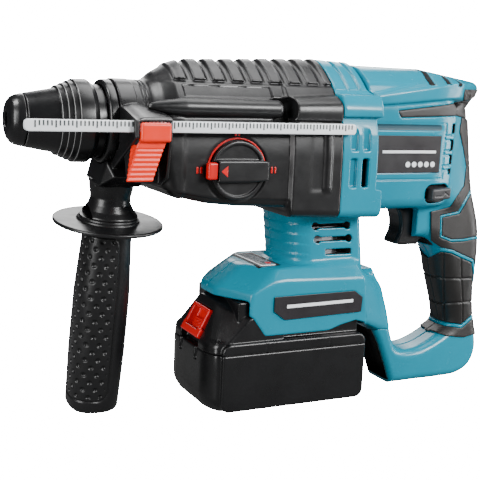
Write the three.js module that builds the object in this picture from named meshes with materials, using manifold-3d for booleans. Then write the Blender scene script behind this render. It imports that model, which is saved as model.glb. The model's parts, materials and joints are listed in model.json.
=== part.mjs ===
// Cordless rotary hammer with a rear D handle, a side handle and a slide-on battery.
// Millimetres, +Z up. Shapes are laid out from the nose of the chuck: the spindle axis is the X axis and the nose points
// along -X. The finished group is then moved so that its origin is the centre of the battery's flat bottom.
// -Y is the tool's left side, which carries the mode knob and the depth gauge.
import * as THREE from 'three';
import { mergeVertices } from 'three/addons/utils/BufferGeometryUtils.js';
import { ConvexGeometry } from 'three/addons/geometries/ConvexGeometry.js';
import Module from 'manifold-3d';

const wasm = await Module();
wasm.setup();

// Driving dimensions
const GAP = 0.3;                     // clearance between neighbouring pieces
const WALL = 2.6;                    // wall of the moulded housings
const SEAM = 0.15;                   // half of the gap between left and right housing halves

const COLLAR = { front: 61.8, nose: 74, rear: 79, noseRadius: 22.4, radius: 25.8, bore: 19.3 };
const GEARCASE = { rear: 202.8 };
const RING = { front: 203.1, rear: 232 };
const BODY = { front: 232.3, half: 32.4, top: 40.5, bottom: -54.5 };
const SHAFT_Z = -25;                 // height of the intermediate shaft
const MOTOR = { x: 204, radius: 23.6, top: -66, bottom: -98 };
const WOBBLE = { x: 172 };
const TEETH = { pinion: 10, spindle: 30, module: 1.25 };

const CHUCK = { sleeveFront: 10, sleeveRear: 50, stepX: [29, 32.2, 35.4, 38.6], rearRadius: 24.8 };
const KNOB = { x: 131, z: -26, radius: 18, inner: -39.6, outer: -47.5 };
const TRIGGER = { front: 275, rear: 304, top: -57.5, bottom: -84, half: 9.5 };
const LEVER = { x: 289, z: -43.5, length: 15, height: 8, reach: 35.2 };

const FOOT = { top: -89.5, half: 37.5, skirt: -134, floorTop: -107.5, floorBottom: -110.3 };
const BATTERY = { front: 119.5, rear: 232.5, half: 38.8, bottom: -183, seam: -144, rim: -136, hump: -111.2 };
const REST = { x: 176, z: BATTERY.bottom };  // centre of the battery's flat bottom
const CELL = { radius: 10.1, length: 60, count: 5, firstX: 134.2, pitch: 20.9, z: -169.2 };

const GAUGE = { y: -47, thick: 4.4, height: 6.4, from: 0, to: 209 };
const SCREWS = [[247, 24, 25, -14], [247, -46, 26, -14], [341, -163, 9, -8], [232, -104, 27, -14]];  // x, z, head, tip
const GRIP = { x: 68, tiltX: 7.07, tiltY: 2.1, disc: 62.6, discRadius: 34.7, length: 190 };

// Materials
const paint = (color, roughness, metalness = 0) => new THREE.MeshStandardMaterial({ color, roughness, metalness });
const MATERIALS = {
  teal: paint(0x0c9fb5, 0.35),
  black: paint(0x17181b, 0.45),
  gloss: paint(0x101114, 0.28),
  rubber: paint(0x38352f, 0.8),
  orange: paint(0xff5028, 0.4),
  red: paint(0xe0201c, 0.35),
  gauge: paint(0xe9eef0, 0.4),
  label: paint(0x2b272b, 0.5),
  steel: paint(0xa9acb0, 0.35, 1),
  castMetal: paint(0x8f9296, 0.55, 1),
  copper: paint(0xb8733a, 0.4, 1),
  lens: paint(0xd8dde0, 0.15),
  board: paint(0x1d5c38, 0.6),
  cell: paint(0x2f6fb0, 0.5),
};

const root = new THREE.Group();

// Geometry helpers
function solid(geometry) {
  const plain = geometry.clone();
  plain.deleteAttribute('normal');
  plain.deleteAttribute('uv');
  const merged = mergeVertices(plain, 1e-4);
  const mesh = new wasm.Mesh({
    numProp: 3,
    vertProperties: Float32Array.from(merged.attributes.position.array),
    triVerts: Uint32Array.from(merged.index.array),
  });
  return new wasm.Manifold(mesh);
}

function geometryOf(body) {
  const mesh = body.getMesh();
  const geometry = new THREE.BufferGeometry();
  geometry.setAttribute('position', new THREE.BufferAttribute(new Float32Array(mesh.vertProperties), 3));
  geometry.setIndex(new THREE.BufferAttribute(new Uint32Array(mesh.triVerts), 1));
  geometry.computeVertexNormals();
  return geometry;
}

function place(name, body, material, parent = root) {
  const mesh = new THREE.Mesh(geometryOf(body), material);
  mesh.name = name;
  parent.add(mesh);
}

const join = (...bodies) => bodies.reduce((all, one) => all.add(one));
const cut = (body, ...tools) => tools.reduce((rest, tool) => rest.subtract(tool), body);
const ringOf = (half) => half.concat(half.filter(([, y]) => y !== 0).reverse().map(([x, y, z]) => [x, -y, z]));
const mirrorY = (points) => points.concat(points.map(([x, y, z]) => [x, -y, z]));

function block([x0, x1], [y0, y1], [z0, z1]) {
  const geometry = new THREE.BoxGeometry(x1 - x0, y1 - y0, z1 - z0);
  return solid(geometry.translate((x0 + x1) / 2, (y0 + y1) / 2, (z0 + z1) / 2));
}

function hull(points) {
  return solid(new ConvexGeometry(points.map((p) => new THREE.Vector3(...p))));
}

// A cylinder or cone along an axis; centre gives the two other coordinates in X, Y, Z order.
function rod(axis, from, to, radius, centre = [0, 0], sides = 20, endRadius = radius) {
  const geometry = new THREE.CylinderGeometry(endRadius, radius, to - from, sides);
  geometry.translate(0, (from + to) / 2, 0);
  if (axis === 'x') return solid(geometry.rotateZ(-Math.PI / 2).translate(0, centre[0], centre[1]));
  if (axis === 'z') return solid(geometry.rotateX(Math.PI / 2).translate(centre[0], centre[1], 0));
  return solid(geometry.translate(centre[0], 0, centre[1]));
}

// A profile of [x, radius] points turned about the X axis.
function turned(profile, sides = 28) {
  const points = profile.map(([x, radius]) => new THREE.Vector2(radius, x));
  points.push(points[0].clone());
  return solid(new THREE.LatheGeometry(points, sides).rotateZ(-Math.PI / 2));
}

function tube(axis, from, to, outer, inner, centre = [0, 0], sides = 20) {
  return cut(rod(axis, from, to, outer, centre, sides), rod(axis, from - 1, to + 1, inner, centre, sides));
}

// An outline in one plane, extruded along the third axis.
function extrude(outline, axis, from, to) {
  const shape = new THREE.Shape(outline.map(([a, b]) => new THREE.Vector2(a, b)));
  const geometry = new THREE.ExtrudeGeometry(shape, { depth: to - from, bevelEnabled: false });
  if (axis === 'y') return solid(geometry.rotateX(Math.PI / 2).translate(0, to, 0));
  if (axis === 'z') return solid(geometry.translate(0, 0, from));
  return solid(geometry.rotateX(Math.PI / 2).rotateZ(Math.PI / 2).translate(from, 0, 0));
}

function gearOutline(teeth, module, phase, clearance = 0.12) {
  const pitch = (teeth * module) / 2;
  const step = (2 * Math.PI) / teeth;
  const corners = [[-0.34, -1.2], [-0.12, 0.85], [0.12, 0.85], [0.34, -1.2]];
  const outline = [];
  for (let tooth = 0; tooth < teeth; tooth += 1) {
    for (const [turn, height] of corners) {
      const angle = (tooth + phase + turn * (1 - clearance)) * step;
      const radius = pitch + height * module;
      outline.push([radius * Math.cos(angle), radius * Math.sin(angle)]);
    }
  }
  return outline;
}

// Housing cross-sections: half outlines of [y, z] mirrored about the middle plane, placed at x.
function caseSection(x, top, half, bottom) {
  const points = [
    [x, 0, top], [x, 0.38 * half, top - 6], [x, 0.69 * half, top - 19], [x, 0.88 * half, top - 31],
    [x, 0.98 * half, -12], [x, half, 0.62 * bottom], [x, 0.95 * half, bottom + 4], [x, 0.8 * half, bottom],
  ];
  return ringOf(points);
}

function bodySection(x, half, top, bottom) {
  return ringOf([
    [x, 0, top], [x, 0.5 * half, top - 3], [x, 0.85 * half, top - 10], [x, half, top - 18],
    [x, half, bottom + 5], [x, half - 5, bottom],
  ]);
}

// A closed skin over a row of rings, which all have the same number of points in the same turning order.
function loft(rings) {
  const count = rings[0].length;
  const last = (rings.length - 1) * count;
  const triangles = [];
  for (let start = 0; start < last; start += count) {
    for (let i = 0; i < count; i += 1) {
      const here = start + i;
      const beside = start + ((i + 1) % count);
      triangles.push(here, beside, beside + count, here, beside + count, here + count);
    }
  }
  for (let i = 1; i + 1 < count; i += 1) {
    triangles.push(0, i + 1, i, last, last + i, last + i + 1);
  }
  const geometry = new THREE.BufferGeometry();
  geometry.setAttribute('position', new THREE.BufferAttribute(new Float32Array(rings.flat(2)), 3));
  geometry.setIndex(triangles);
  const skin = solid(geometry);
  return skin.volume() > 0 ? skin : solid(geometry.setIndex(triangles.reverse()));
}

function circleSection(x, radius) {
  return ringOf([0, 28, 52, 76, 98, 120, 142, 162].map((degrees) => {
    const angle = THREE.MathUtils.degToRad(degrees);
    return [x, radius * Math.sin(angle), radius * Math.cos(angle)];
  }));
}

const leftOf = (body) => body.intersect(block([-10, 400], [-100, -SEAM], [-250, 100]));
const rightOf = (body) => body.intersect(block([-10, 400], [SEAM, 100], [-250, 100]));

// Chuck: a dust cap, a sliding sleeve with its spring, and two locking balls on the tool spindle.
function chuck() {
  const cap = turned([[0, 5], [0, 9], [1.4, 12.5], [4.5, 14.6], [9.4, 15.7], [9.4, 11.6], [2.5, 9], [2.5, 5]]);
  place('chuck_dust_cap', cap, MATERIALS.gloss);

  const radii = [20.2, 21.7, 23.2, CHUCK.rearRadius];
  const sleeve = [[CHUCK.sleeveFront, 15.2]];
  CHUCK.stepX.forEach((x, i) => {
    sleeve.push([x, (i ? radii[i - 1] : 18.9)], [x, radii[i]]);
  });
  sleeve.push([46.5, CHUCK.rearRadius], [CHUCK.sleeveRear, 22], [55, 21.9], [55, 20.4], [42, 20.4], [34, 17.6]);
  sleeve.push([28, 17.6], [28, 11.6], [CHUCK.sleeveFront, 11.6]);
  place('chuck_sleeve', turned(sleeve), MATERIALS.black);
  const stopRing = [[55.6, 22.3], [55.6, 24.6], [56.4, 25.2], [61.3, 25.2], [61.3, 15.3], [60.6, 15.3], [60.6, 22.3]];
  place('chuck_stop_ring', turned(stopRing), MATERIALS.black);

  const coil = new THREE.CatmullRomCurve3(Array.from({ length: 41 }, (_, i) => {
    const angle = (2 * Math.PI * i) / 10;
    return new THREE.Vector3(29.5 + 0.5 * i, 14 * Math.cos(angle), 14 * Math.sin(angle));
  }));
  const wire = new THREE.Shape().absarc(0, 0, 0.9, 0, 2 * Math.PI);
  const spring = new THREE.ExtrudeGeometry(wire, { steps: 48, extrudePath: coil, curveSegments: 2 });
  place('chuck_spring', solid(spring), MATERIALS.steel);

  for (const [name, side] of [['locking_ball_left', -1], ['locking_ball_right', 1]]) {
    const ball = new THREE.SphereGeometry(3.2, 10, 6).translate(21, side * 8.2, 0);
    place(name, solid(ball), MATERIALS.steel);
  }
}

// Tool spindle: tool holder in front, hammer cylinder behind, in one tube that turns in the gear housing.
function spindle() {
  const tubeProfile = [
    [2.8, 5.2], [2.8, 8.6], [9.7, 8.6], [9.7, 11.2], [52, 11.2], [52, 15], [62, 15], [62, 13.5], [77, 13.5],
    [77, 16.4], [158, 16.4], [158, 13], [62, 13 - 3], [60, 5.2],
  ];
  const pockets = [-1, 1].map((side) => block([17.4, 24.6], [side < 0 ? -12 : 4.6, side < 0 ? -4.6 : 12], [-3.6, 3.6]));
  place('tool_spindle', cut(turned(tubeProfile), rod('x', 78, 159, 13), ...pockets), MATERIALS.steel);

  const wheel = extrude(gearOutline(TEETH.spindle, TEETH.module, 0.5), 'x', 106, 116);
  place('spindle_gear', cut(wheel, rod('x', 100, 120, 16.4 + GAP)), MATERIALS.steel);
  place('oil_seal', tube('x', 62.6, 65.4, 19, 15 + GAP - 1.2), MATERIALS.rubber);
  place('spindle_bearing', tube('x', 66, 76, 19, 13.8), MATERIALS.steel);
}

// Hammer mechanism inside the spindle.
function hammer() {
  const lug = block([158, 179], [-8, 8], [-8, 8]).intersect(rod('x', 150, 179, 9));
  const slot = block([WOBBLE.x - 5, WOBBLE.x + 5], [-4, 4], [-20, 6]);
  const cup = rod('x', 140, 159, 12.7);
  const well = rod('x', 139, 150, 10.5);
  place('piston', cut(join(cup, lug), slot, well), MATERIALS.castMetal);
  place('striker', join(rod('x', 108, 128, 12.6), rod('x', 100, 109, 7)), MATERIALS.steel);
  place('impact_bolt', join(rod('x', 66, 84, 9.2), rod('x', 84, 94, 6.5), rod('x', 50, 67, 4.8)), MATERIALS.steel);
}

// Gear train: motor pinion, bevel gear, intermediate shaft, drive pinion and wobble ring.
function gearTrain() {
  const centre = [0, SHAFT_Z];
  const shaft = join(rod('x', 96, 196, 4), rod('x', 160, 184, 8.4, [0, 0]));
  place('intermediate_shaft', shaftAt(shaft), MATERIALS.steel);
  const pinion = extrude(gearOutline(TEETH.pinion, TEETH.module, 0), 'x', 105.6, 116.4);
  place('drive_pinion', shaftAt(cut(pinion, rod('x', 100, 120, 4.1))), MATERIALS.steel);
  place('shaft_bearing_front', tube('x', 97, 103, 8, 4.1, centre), MATERIALS.steel);
  place('shaft_bearing_rear', tube('x', 151, 157, 8, 4.1, centre), MATERIALS.steel);

  const ribs = Array.from({ length: 27 }, (_, i) => {
    const rib = new THREE.BoxGeometry(1.6, 5.4, 1.1).translate(192.2, 17, 0);
    return solid(rib.rotateX((2 * Math.PI * i) / 27));
  });
  const wheel = cut(join(rod('x', 186, 192, 20, [0, 0], 27), ...ribs), rod('x', 180, 200, 4.1));
  place('bevel_gear', shaftAt(wheel), MATERIALS.steel);

  const finger = join(rod('z', 13, 23, 3.2, [WOBBLE.x, 0], 12), solid(new THREE.SphereGeometry(3.6, 10, 6).translate(WOBBLE.x, 0, 24)));
  const ring = cut(rod('x', WOBBLE.x - 4.5, WOBBLE.x + 4.5, 15), rod('x', 160, 190, 11.5));
  place('wobble_ring', shaftAt(join(ring, finger)), MATERIALS.steel);
}

function shaftAt(body) {
  const geometry = geometryOf(body).translate(0, 0, SHAFT_Z);
  return solid(geometry);
}

// Motor standing upright in the neck, with its fan above and its pinion reaching the bevel gear.
function motor() {
  const centre = [MOTOR.x, 0];
  const poles = Array.from({ length: 6 }, (_, i) => {
    const pole = new THREE.BoxGeometry(8.5, 7, MOTOR.top - MOTOR.bottom).translate(17, 0, (MOTOR.top + MOTOR.bottom) / 2);
    return solid(pole.rotateZ((Math.PI * i) / 3).translate(MOTOR.x, 0, 0));
  });
  const yoke = tube('z', MOTOR.bottom, MOTOR.top, MOTOR.radius, 20, centre);
  place('motor_stator', join(yoke, ...poles), MATERIALS.castMetal);
  place('motor_rotor', join(rod('z', -98, -66, 12.4, centre), rod('z', -107, -46.5, 4, centre)), MATERIALS.steel);
  place('motor_pinion', cut(rod('z', -45.5, -34, 5.6, centre, 9, 4.4), rod('z', -46, -33, 2.2, centre, 12)), MATERIALS.steel);
  const blades = Array.from({ length: 9 }, (_, i) => {
    const blade = new THREE.BoxGeometry(13, 1.2, 4.2).translate(14.6, 0, -61.8);
    return solid(blade.rotateZ((2 * Math.PI * i) / 9).translate(MOTOR.x, 0, 0));
  });
  const fan = cut(join(rod('z', -64.6, -63, 21.5, centre), rod('z', -64, -59.6, 9, centre), ...blades), rod('z', -66, -58, 4.1, centre));
  place('cooling_fan', fan, MATERIALS.black);
  place('motor_bearing_upper', tube('z', -58.5, -52, 10.8, 4.1, centre), MATERIALS.steel);
  place('motor_bearing_lower', tube('z', -106.5, -100.5, 9.5, 4.1, centre), MATERIALS.steel);
}

// Gear housing: a hollow casting with a collar nose, ribs over the top and rails on both sides.
function gearHousing() {
  const sizes = [[88, 33, 34, -40.5], [97, 37.5, 39, -44], [135, 40, 40, -49.5], [167, 42, 41, -51], [169, 43, 44.4, -56], [GEARCASE.rear, 43.6, 45, -57]];
  const outer = loft([circleSection(COLLAR.rear, 26.2), ...sizes.map(([x, top, half, bottom]) => caseSection(x, top, half, bottom))]);
  const inner = loft(sizes.map(([x, top, half, bottom], i) => {
    const at = i === sizes.length - 1 ? x + 1 : x;
    return caseSection(at, top - WALL, half - WALL, bottom + WALL);
  }));
  const collar = join(rod('x', COLLAR.front, 80, COLLAR.noseRadius), rod('x', COLLAR.nose, 80, COLLAR.radius));
  const bore = join(rod('x', 60, 76.4, COLLAR.bore), rod('x', 76, 92, 17.4));
  const ribs = Array.from({ length: 9 }, (_, i) => {
    const x = 102 + 11.2 * i;
    const top = 39.5 + 0.055 * (x - 100);
    return hull(mirrorY([[x, 0, top], [x, 15, top - 6], [x, 15, top - 9], [x + 5, 0, top], [x + 5, 15, top - 6], [x + 5, 15, top - 9]]));
  });
  const rails = [-1, 1].map((side) => rod('x', 92, 168, 4.4, [side * 36.6, 10.5], 12));
  const knobSeat = rod('y', -60, KNOB.inner + GAP * 0.5, KNOB.radius + 4, [KNOB.x, KNOB.z], 28);
  const motorNotch = rod('z', -60, -45, 13, [MOTOR.x, 0]);
  const webs = [[97, 103], [151, 157]].map(([x0, x1]) => {
    const web = block([x0, x1], [-36, 36], [-50, SHAFT_Z + 4]).intersect(outer);
    return cut(web, rod('x', x0 - 1, x1 + 1, 8.4, [0, SHAFT_Z]), rod('x', x0 - 1, x1 + 1, 17.5));
  });
  const shell = cut(join(outer, collar, ...ribs, ...rails), inner, bore, knobSeat, motorNotch);
  place('gear_housing', join(shell, ...webs), MATERIALS.black);
}

// Mode selector on the left side: a dial ring on the housing, a knob, and the knob's lock button.
function modeSelector() {
  const centre = [KNOB.x, KNOB.z];
  const dial = tube('y', KNOB.inner - 1.6, KNOB.inner - GAP * 0.5, KNOB.radius + 3, KNOB.radius + 0.8, centre, 28);
  place('mode_dial_ring', dial, MATERIALS.red);
  const disc = rod('y', -43.4, KNOB.inner - GAP, KNOB.radius, centre, 28);
  const bar = block([KNOB.x - 15.5, KNOB.x + 18], [KNOB.outer, -43], [KNOB.z - 6.2, KNOB.z + 6.2]);
  const button = block([KNOB.x - 21.5, KNOB.x - 14], [-47, -41.6], [KNOB.z - 5, KNOB.z + 5]);
  const pocket = block([KNOB.x - 23, KNOB.x - 11.2], [-47.4, -40.6], [KNOB.z - 5.4, KNOB.z + 5.4]);
  place('mode_knob', cut(join(disc, bar), pocket), MATERIALS.black);
  place('mode_lock_button', button, MATERIALS.red);
}

// Motor housing halves: rear ring, neck and foot, with the cover over the battery rails.
function neckSection(z, front, flatFront, rear, half) {
  return mirrorY([[front, 0, z], [front + 1.5, 0.35 * half, z], [front + 7, 0.7 * half, z], [flatFront, half, z], [rear, half, z], [rear + 4, half - 6, z]]);
}

function footSection(shrink) {
  const s = shrink;
  return hull(mirrorY([
    [132 + s, 12, -105], [132 + s, 12, -112 + s], [137.7 + s, 20, -106], [137.7 + s, 20, -114 + s],
    [151 + s, 10, -90.5 - s], [168, 31 - s, FOOT.top - s], [228 - s, 31 - s, FOOT.top - s],
    [148 + s, FOOT.half - s, -104], [168, FOOT.half - s, -97], [230 - s, FOOT.half - s, -98],
    [146 + s, FOOT.half - s, -119], [158 + s, FOOT.half - s, FOOT.skirt + s], [226 - s, FOOT.half - s, FOOT.skirt + s],
  ]));
}

function motorHousing() {
  const sections = [[RING.front, 42.8, 45, -57.3], [RING.rear, 41.5, 45.4, -58]];
  const ring = loft(sections.map(([x, top, half, bottom]) => caseSection(x, top, half, bottom)));
  const ringCavity = loft([
    caseSection(RING.front - 1, 42.8 - WALL, 45 - WALL, -57.3 + WALL),
    caseSection(RING.rear - 3, 41.5 - WALL, 45.4 - WALL, -58 + WALL),
  ]);
  const rearOpening = block([228, 234], [-27, 27], [-48, 30]);
  const neck = hull([...neckSection(-57.4, 174.5, 191.6, 229, 27), ...neckSection(-93, 177.4, 197, 234, 27)]);
  const neckCavity = hull([...neckSection(-50, 177.2, 192, 226.5, 24.4), ...neckSection(-106, 180, 198, 231.5, 24.4)]);
  const foot = footSection(0);
  const rearTail = hull(mirrorY([
    [220, 36, -97], [222, 37.2, -130], [236, 30, -98.5], [238, 28, -131], [250, 16, -104.5],
    [262.5, 15.5, -119], [269.2, 15.5, -141.5], [257.4, 15.5, -141.5], [245, 20, -136],
  ]));
  const tailCavity = hull(mirrorY([
    [225, 29, -103], [225, 29, -106], [246, 13, -106], [259, 12.6, -119.5], [265.6, 12.6, -143], [259.4, 12.6, -143], [248, 13, -130],
  ]));
  const deck = block([120, 250], [-40, 40], [FOOT.floorBottom, FOOT.floorTop]);
  const footCavity = cut(footSection(WALL), deck);
  const railMouth = block([110, 236.5], [-33.4, 33.4], [-150, FOOT.floorBottom]);
  const gearcaseClear = block([160, RING.front - 0.01], [-60, 60], [-57.35, 60]);
  const vents = [0, 1, 2].flatMap((i) => [-1, 1].map((side) => {
    const z = -65.5 - 8.7 * i;
    return block([197, 221], [side < 0 ? -30 : 20, side < 0 ? -20 : 30], [z - 1.6, z + 1.6]);
  }));
  const ringVents = [[212, -13.5, 5.5], [220.5, -13.5, 5.5], [212, -38, -19.5], [220.5, -38, -19.5]].flatMap(([x, low, high]) => (
    [-1, 1].map((side) => block([x - 1.7, x + 1.7], [side < 0 ? -50 : 38, side < 0 ? -38 : 50], [low, high]))
  ));
  const lensSeat = block([160, 172], [-20, 20], [-96, -88]);
  const outside = join(ring, neck, foot, rearTail);
  const shell = cut(
    outside,
    ringCavity, rearOpening, neckCavity, footCavity, railMouth, tailCavity, gearcaseClear, lensSeat, ...vents, ...ringVents,
  );
  const footScrew = SCREWS[3];
  const bossed = cut(join(shell, screwBoss(footScrew, outside)), screwHole(footScrew));
  place('motor_housing_left', leftOf(bossed), MATERIALS.teal);
  place('motor_housing_right', rightOf(bossed), MATERIALS.teal);
  place('foot_light_lens', block([160.4, 171.6], [-19.6, 19.6], [-93.6, -89.4]), MATERIALS.lens);
}

// Rear housing halves: body, grip, lower loop and the arm that comes forward to the foot.
// Each station of the loop is [x, z, lean in degrees, half depth, half width].
const LOOP = [
  [310, -36, 0, 24, 16.6], [320.8, -66, 2, 22.8, 16.6], [327.3, -88, 4, 18.4, 16.4], [330, -110, 6, 15.4, 16.2],
  [333.8, -134, 8, 12.8, 16], [337.4, -147.6, 4, 11.8, 16], [337.6, -160.4, -35, 15.8, 16], [327.4, -167.6, -67, 17, 16],
  [312, -169.4, -90, 14.4, 16], [286, -171.6, -90, 11.8, 16], [277, -170.5, -112, 14, 16], [271, -162, -140, 12, 16],
  [267.4, -153, -164, 7.6, 16], [263.4, -141.9, -180, 6, 15.5],
];

function stationRing([x, z, lean, depth, half], shrink) {
  const tilt = THREE.MathUtils.degToRad(lean);
  const round = [[1, 0.4], [0.84, 0.82], [0.6, 1], [-0.6, 1], [-0.84, 0.82], [-1, 0.4]];
  const plain = [[1, 0.5], [0.7, 1], [-0.7, 1], [-1, 0.5]];
  const shape = shrink > 0 ? plain : round;
  return ringOf(shape.map(([along, across]) => {
    const reach = along * (depth - shrink);
    return [x + reach * Math.cos(tilt), across * (half - shrink), z + reach * Math.sin(tilt)];
  }));
}

function rearBody(shrink) {
  const s = shrink;
  const front = BODY.front - (s ? 1 : 0);
  const main = loft([
    bodySection(front, BODY.half - s, BODY.top - s, BODY.bottom + s),
    bodySection(288, BODY.half - s, BODY.top - s - 0.5, BODY.bottom + s),
    bodySection(303 - s, 29 - s, 36.5 - s, BODY.bottom + 2 + s),
  ]);
  const beak = hull(bodySection(300, 29 - s, 36.5 - s, 6 + s).concat(mirrorY([
    [340.5 - s, 5 - s / 2, 27.6], [335.6 - s, 6 - s / 2, 32.4 - s], [333 - s, 8 - s / 2, 20], [325.5 - s, 15 - s, 6 + s],
  ])));
  const back = hull(bodySection(300, 29 - s, 30 - s, -50 + s).concat(mirrorY([
    [325.5 - s, 15 - s, 10], [327.5 - s, 14 - s, -5], [332 - s, 13 - s, -17], [338.5 - s, 13 - s, -33], [330 - s, 16 - s, -44],
  ])));
  return join(main, beak, back);
}

function rearHousing() {
  const loopOuter = loft(LOOP.map((station) => stationRing(station, 0)));
  const aboveArm = [262.6, -139, -180, 6, 15.5];
  const loopInner = loft([...LOOP, aboveArm].map((station) => stationRing(station, WALL)));
  const triggerMouth = block([268, TRIGGER.rear + 9], [-TRIGGER.half - 0.5, TRIGGER.half + 0.5], [TRIGGER.bottom - 0.6, TRIGGER.top + 0.8]);
  const leverHole = block([LEVER.x - 8.2, LEVER.x + 8.2], [-60, 60], [LEVER.z - 5, LEVER.z + 5]);
  const roofVents = [290, 301, 312].map((x) => extrude([[x, 44], [x + 6, 44], [x + 12, 26], [x + 8, 26]], 'y', -14, 14));
  const rearSlots = [0, 1, 2].flatMap((i) => [-1, 1].map((side) => {
    const z = 2 - 14 * i;
    return block([294.5, 298.5], [side < 0 ? -40 : 22, side < 0 ? -22 : 40], [z - 5, z + 5]);
  }));
  const outside = join(rearBody(0), loopOuter);
  const shell = cut(
    outside,
    rearBody(WALL), loopInner, triggerMouth, leverHole, ...roofVents, ...rearSlots,
  );
  const rearScrews = SCREWS.slice(0, 3);
  const bosses = rearScrews.map((screw) => screwBoss(screw, outside));
  const bossed = cut(join(shell, ...bosses), ...rearScrews.map(screwHole));
  place('rear_housing_left', leftOf(bossed), MATERIALS.teal);
  place('rear_housing_right', rightOf(bossed), MATERIALS.teal);
}

// Soft grip pads over the sides and back of the grip, one on each half.
function gripPads() {
  const stations = LOOP.slice(1, 6);
  const outer = loft(stations.map((station) => stationRing(station, -1.7)));
  const core = loft(LOOP.slice(0, 8).map((station) => stationRing(station, -GAP)));
  const pads = cut(outer, core, block([270, 320], [-12, 12], [-101, -50]));
  place('grip_pad_left', leftOf(pads), MATERIALS.rubber);
  place('grip_pad_right', rightOf(pads), MATERIALS.rubber);
}

// Trigger, direction lever, switch and control board.
function controls() {
  const { front, rear, top, bottom, half } = TRIGGER;
  const outline = [[front, top], [front + 2.4, top - 9], [front + 2, bottom + 6], [front - 1, bottom + 1], [front + 4, bottom], [rear, bottom + 1], [rear, top]];
  place('trigger', extrude(outline, 'y', -half, half), MATERIALS.black);
  const coil = new THREE.CatmullRomCurve3(Array.from({ length: 31 }, (_, i) => {
    const angle = (2 * Math.PI * i) / 10;
    return new THREE.Vector3(rear + 0.8 + 0.36 * i, 4 * Math.cos(angle), -70 + 4 * Math.sin(angle));
  }));
  const wire = new THREE.Shape().absarc(0, 0, 0.45, 0, 2 * Math.PI);
  const spring = new THREE.ExtrudeGeometry(wire, { steps: 40, extrudePath: coil, curveSegments: 2 });
  place('trigger_spring', solid(spring), MATERIALS.steel);
  place('switch_body', block([317.5, 335.5], [-9, 9], [-84, -58]), MATERIALS.gloss);
  const lever = block([LEVER.x - LEVER.length / 2, LEVER.x + LEVER.length / 2], [-LEVER.reach, LEVER.reach], [LEVER.z - LEVER.height / 2, LEVER.z + LEVER.height / 2]);
  place('direction_lever', lever, MATERIALS.black);
  place('control_board', block([152, 177], [-20, 20], [-104, -101.5]), MATERIALS.board);
}

function labels() {
  const hexagon = [[163, -108], [163, -117.5], [171, -123.5], [229, -122], [229.5, -112], [223, -107.5]];
  for (const [name, side] of [['left', -1], ['right', 1]]) {
    const y = side * (BODY.half + 0.6);
    place(`rear_label_${name}`, block([237, 289], [y - 0.3, y + 0.3], [-29.5, -4.5]), MATERIALS.label);
    const at = side * (FOOT.half + 0.6);
    place(`foot_label_${name}`, extrude(hexagon, 'y', at - 0.3, at + 0.3), MATERIALS.label);
  }
}

// Battery: two shell halves around five cells, a terminal block on the rail hump and a latch on the front slope.
const SLOPE = THREE.MathUtils.degToRad(48);
const slopeBlock = (along, across, depth) => {
  const geometry = new THREE.BoxGeometry(along[1] - along[0], across[1] - across[0], depth[1] - depth[0]);
  geometry.translate((along[0] + along[1]) / 2, (across[0] + across[1]) / 2, (depth[0] + depth[1]) / 2);
  return solid(geometry.rotateY(-SLOPE).translate(120, 0, -139.5));
};

function roundedPlan(z, front, rear, half, corner) {
  const c = corner * 0.3;
  return mirrorY([
    [front, half - corner, z], [front + c, half - c, z], [front + corner, half, z],
    [rear - corner, half, z], [rear - c, half - c, z], [rear, half - corner, z],
  ]);
}

function battery() {
  const { front, rear, half, bottom, seam, rim, hump } = BATTERY;
  const lower = hull([
    ...roundedPlan(seam - SEAM, front, rear, half, 10), ...roundedPlan(bottom + 6, front + 0.5, rear - 0.5, half - 0.3, 10),
    ...roundedPlan(bottom, front + 5, rear - 6, half - 6, 8),
  ]);
  const lowerCavity = hull([
    ...roundedPlan(seam + 1, front + WALL, rear - WALL, half - WALL, 9), ...roundedPlan(bottom + 8, front + WALL, rear - WALL, half - WALL, 9),
    ...roundedPlan(bottom + WALL, front + WALL + 3, rear - WALL - 3, half - WALL - 3, 8),
  ]);
  place('battery_lower_shell', cut(lower, lowerCavity), MATERIALS.black);

  const belt = hull([...roundedPlan(seam + SEAM, front, rear, half, 10), ...roundedPlan(rim, front + 1.5, rear - 1.5, half - 1.5, 10)]);
  const wedge = hull([...roundedPlan(-140, front, 170, half - 4, 10), ...roundedPlan(-118.4, 139, 166, 26, 6)]);
  const rails = block([139, rear - 2], [-32.6, 32.6], [rim - 1, hump]);
  const cavity = join(
    hull([...roundedPlan(seam - 1, front + WALL, rear - WALL, half - WALL, 9), ...roundedPlan(rim - 1.5, front + WALL + 3, rear - WALL - 2, half - WALL - 2, 9)]),
    block([150, rear - 4.5], [-30, 30], [rim - 2, hump - 6.5]),
  );
  const latchWell = slopeBlock([-6, 24], [-14.6, 14.6], [-6.4, 8]);
  const terminalWell = block([160, 190], [-14.5, 14.5], [hump - 4.5, hump + 1]);
  place('battery_upper_shell', cut(join(belt, wedge, rails), cavity, latchWell, terminalWell), MATERIALS.black);
  place('battery_latch', slopeBlock([0.5, 21], [-14, 14], [-6, 0.4]), MATERIALS.red);
  const blades = [-9, -3, 3, 9].map((y) => block([162, 186], [y - 0.5, y + 0.5], [hump - 3, hump - 0.4]));
  place('terminal_block', join(block([160.4, 189.6], [-14.2, 14.2], [hump - 4.2, hump - 2.6]), ...blades), MATERIALS.copper);
  const cells = Array.from({ length: CELL.count }, (_, i) => (
    rod('y', -CELL.length / 2, CELL.length / 2, CELL.radius, [CELL.firstX + CELL.pitch * i, CELL.z], 16)
  ));
  const carrier = block([126, 228], [-31, 31], [CELL.z + 8.5, CELL.z + 12]);
  place('battery_cells', join(carrier, ...cells), MATERIALS.cell);
}

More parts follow.
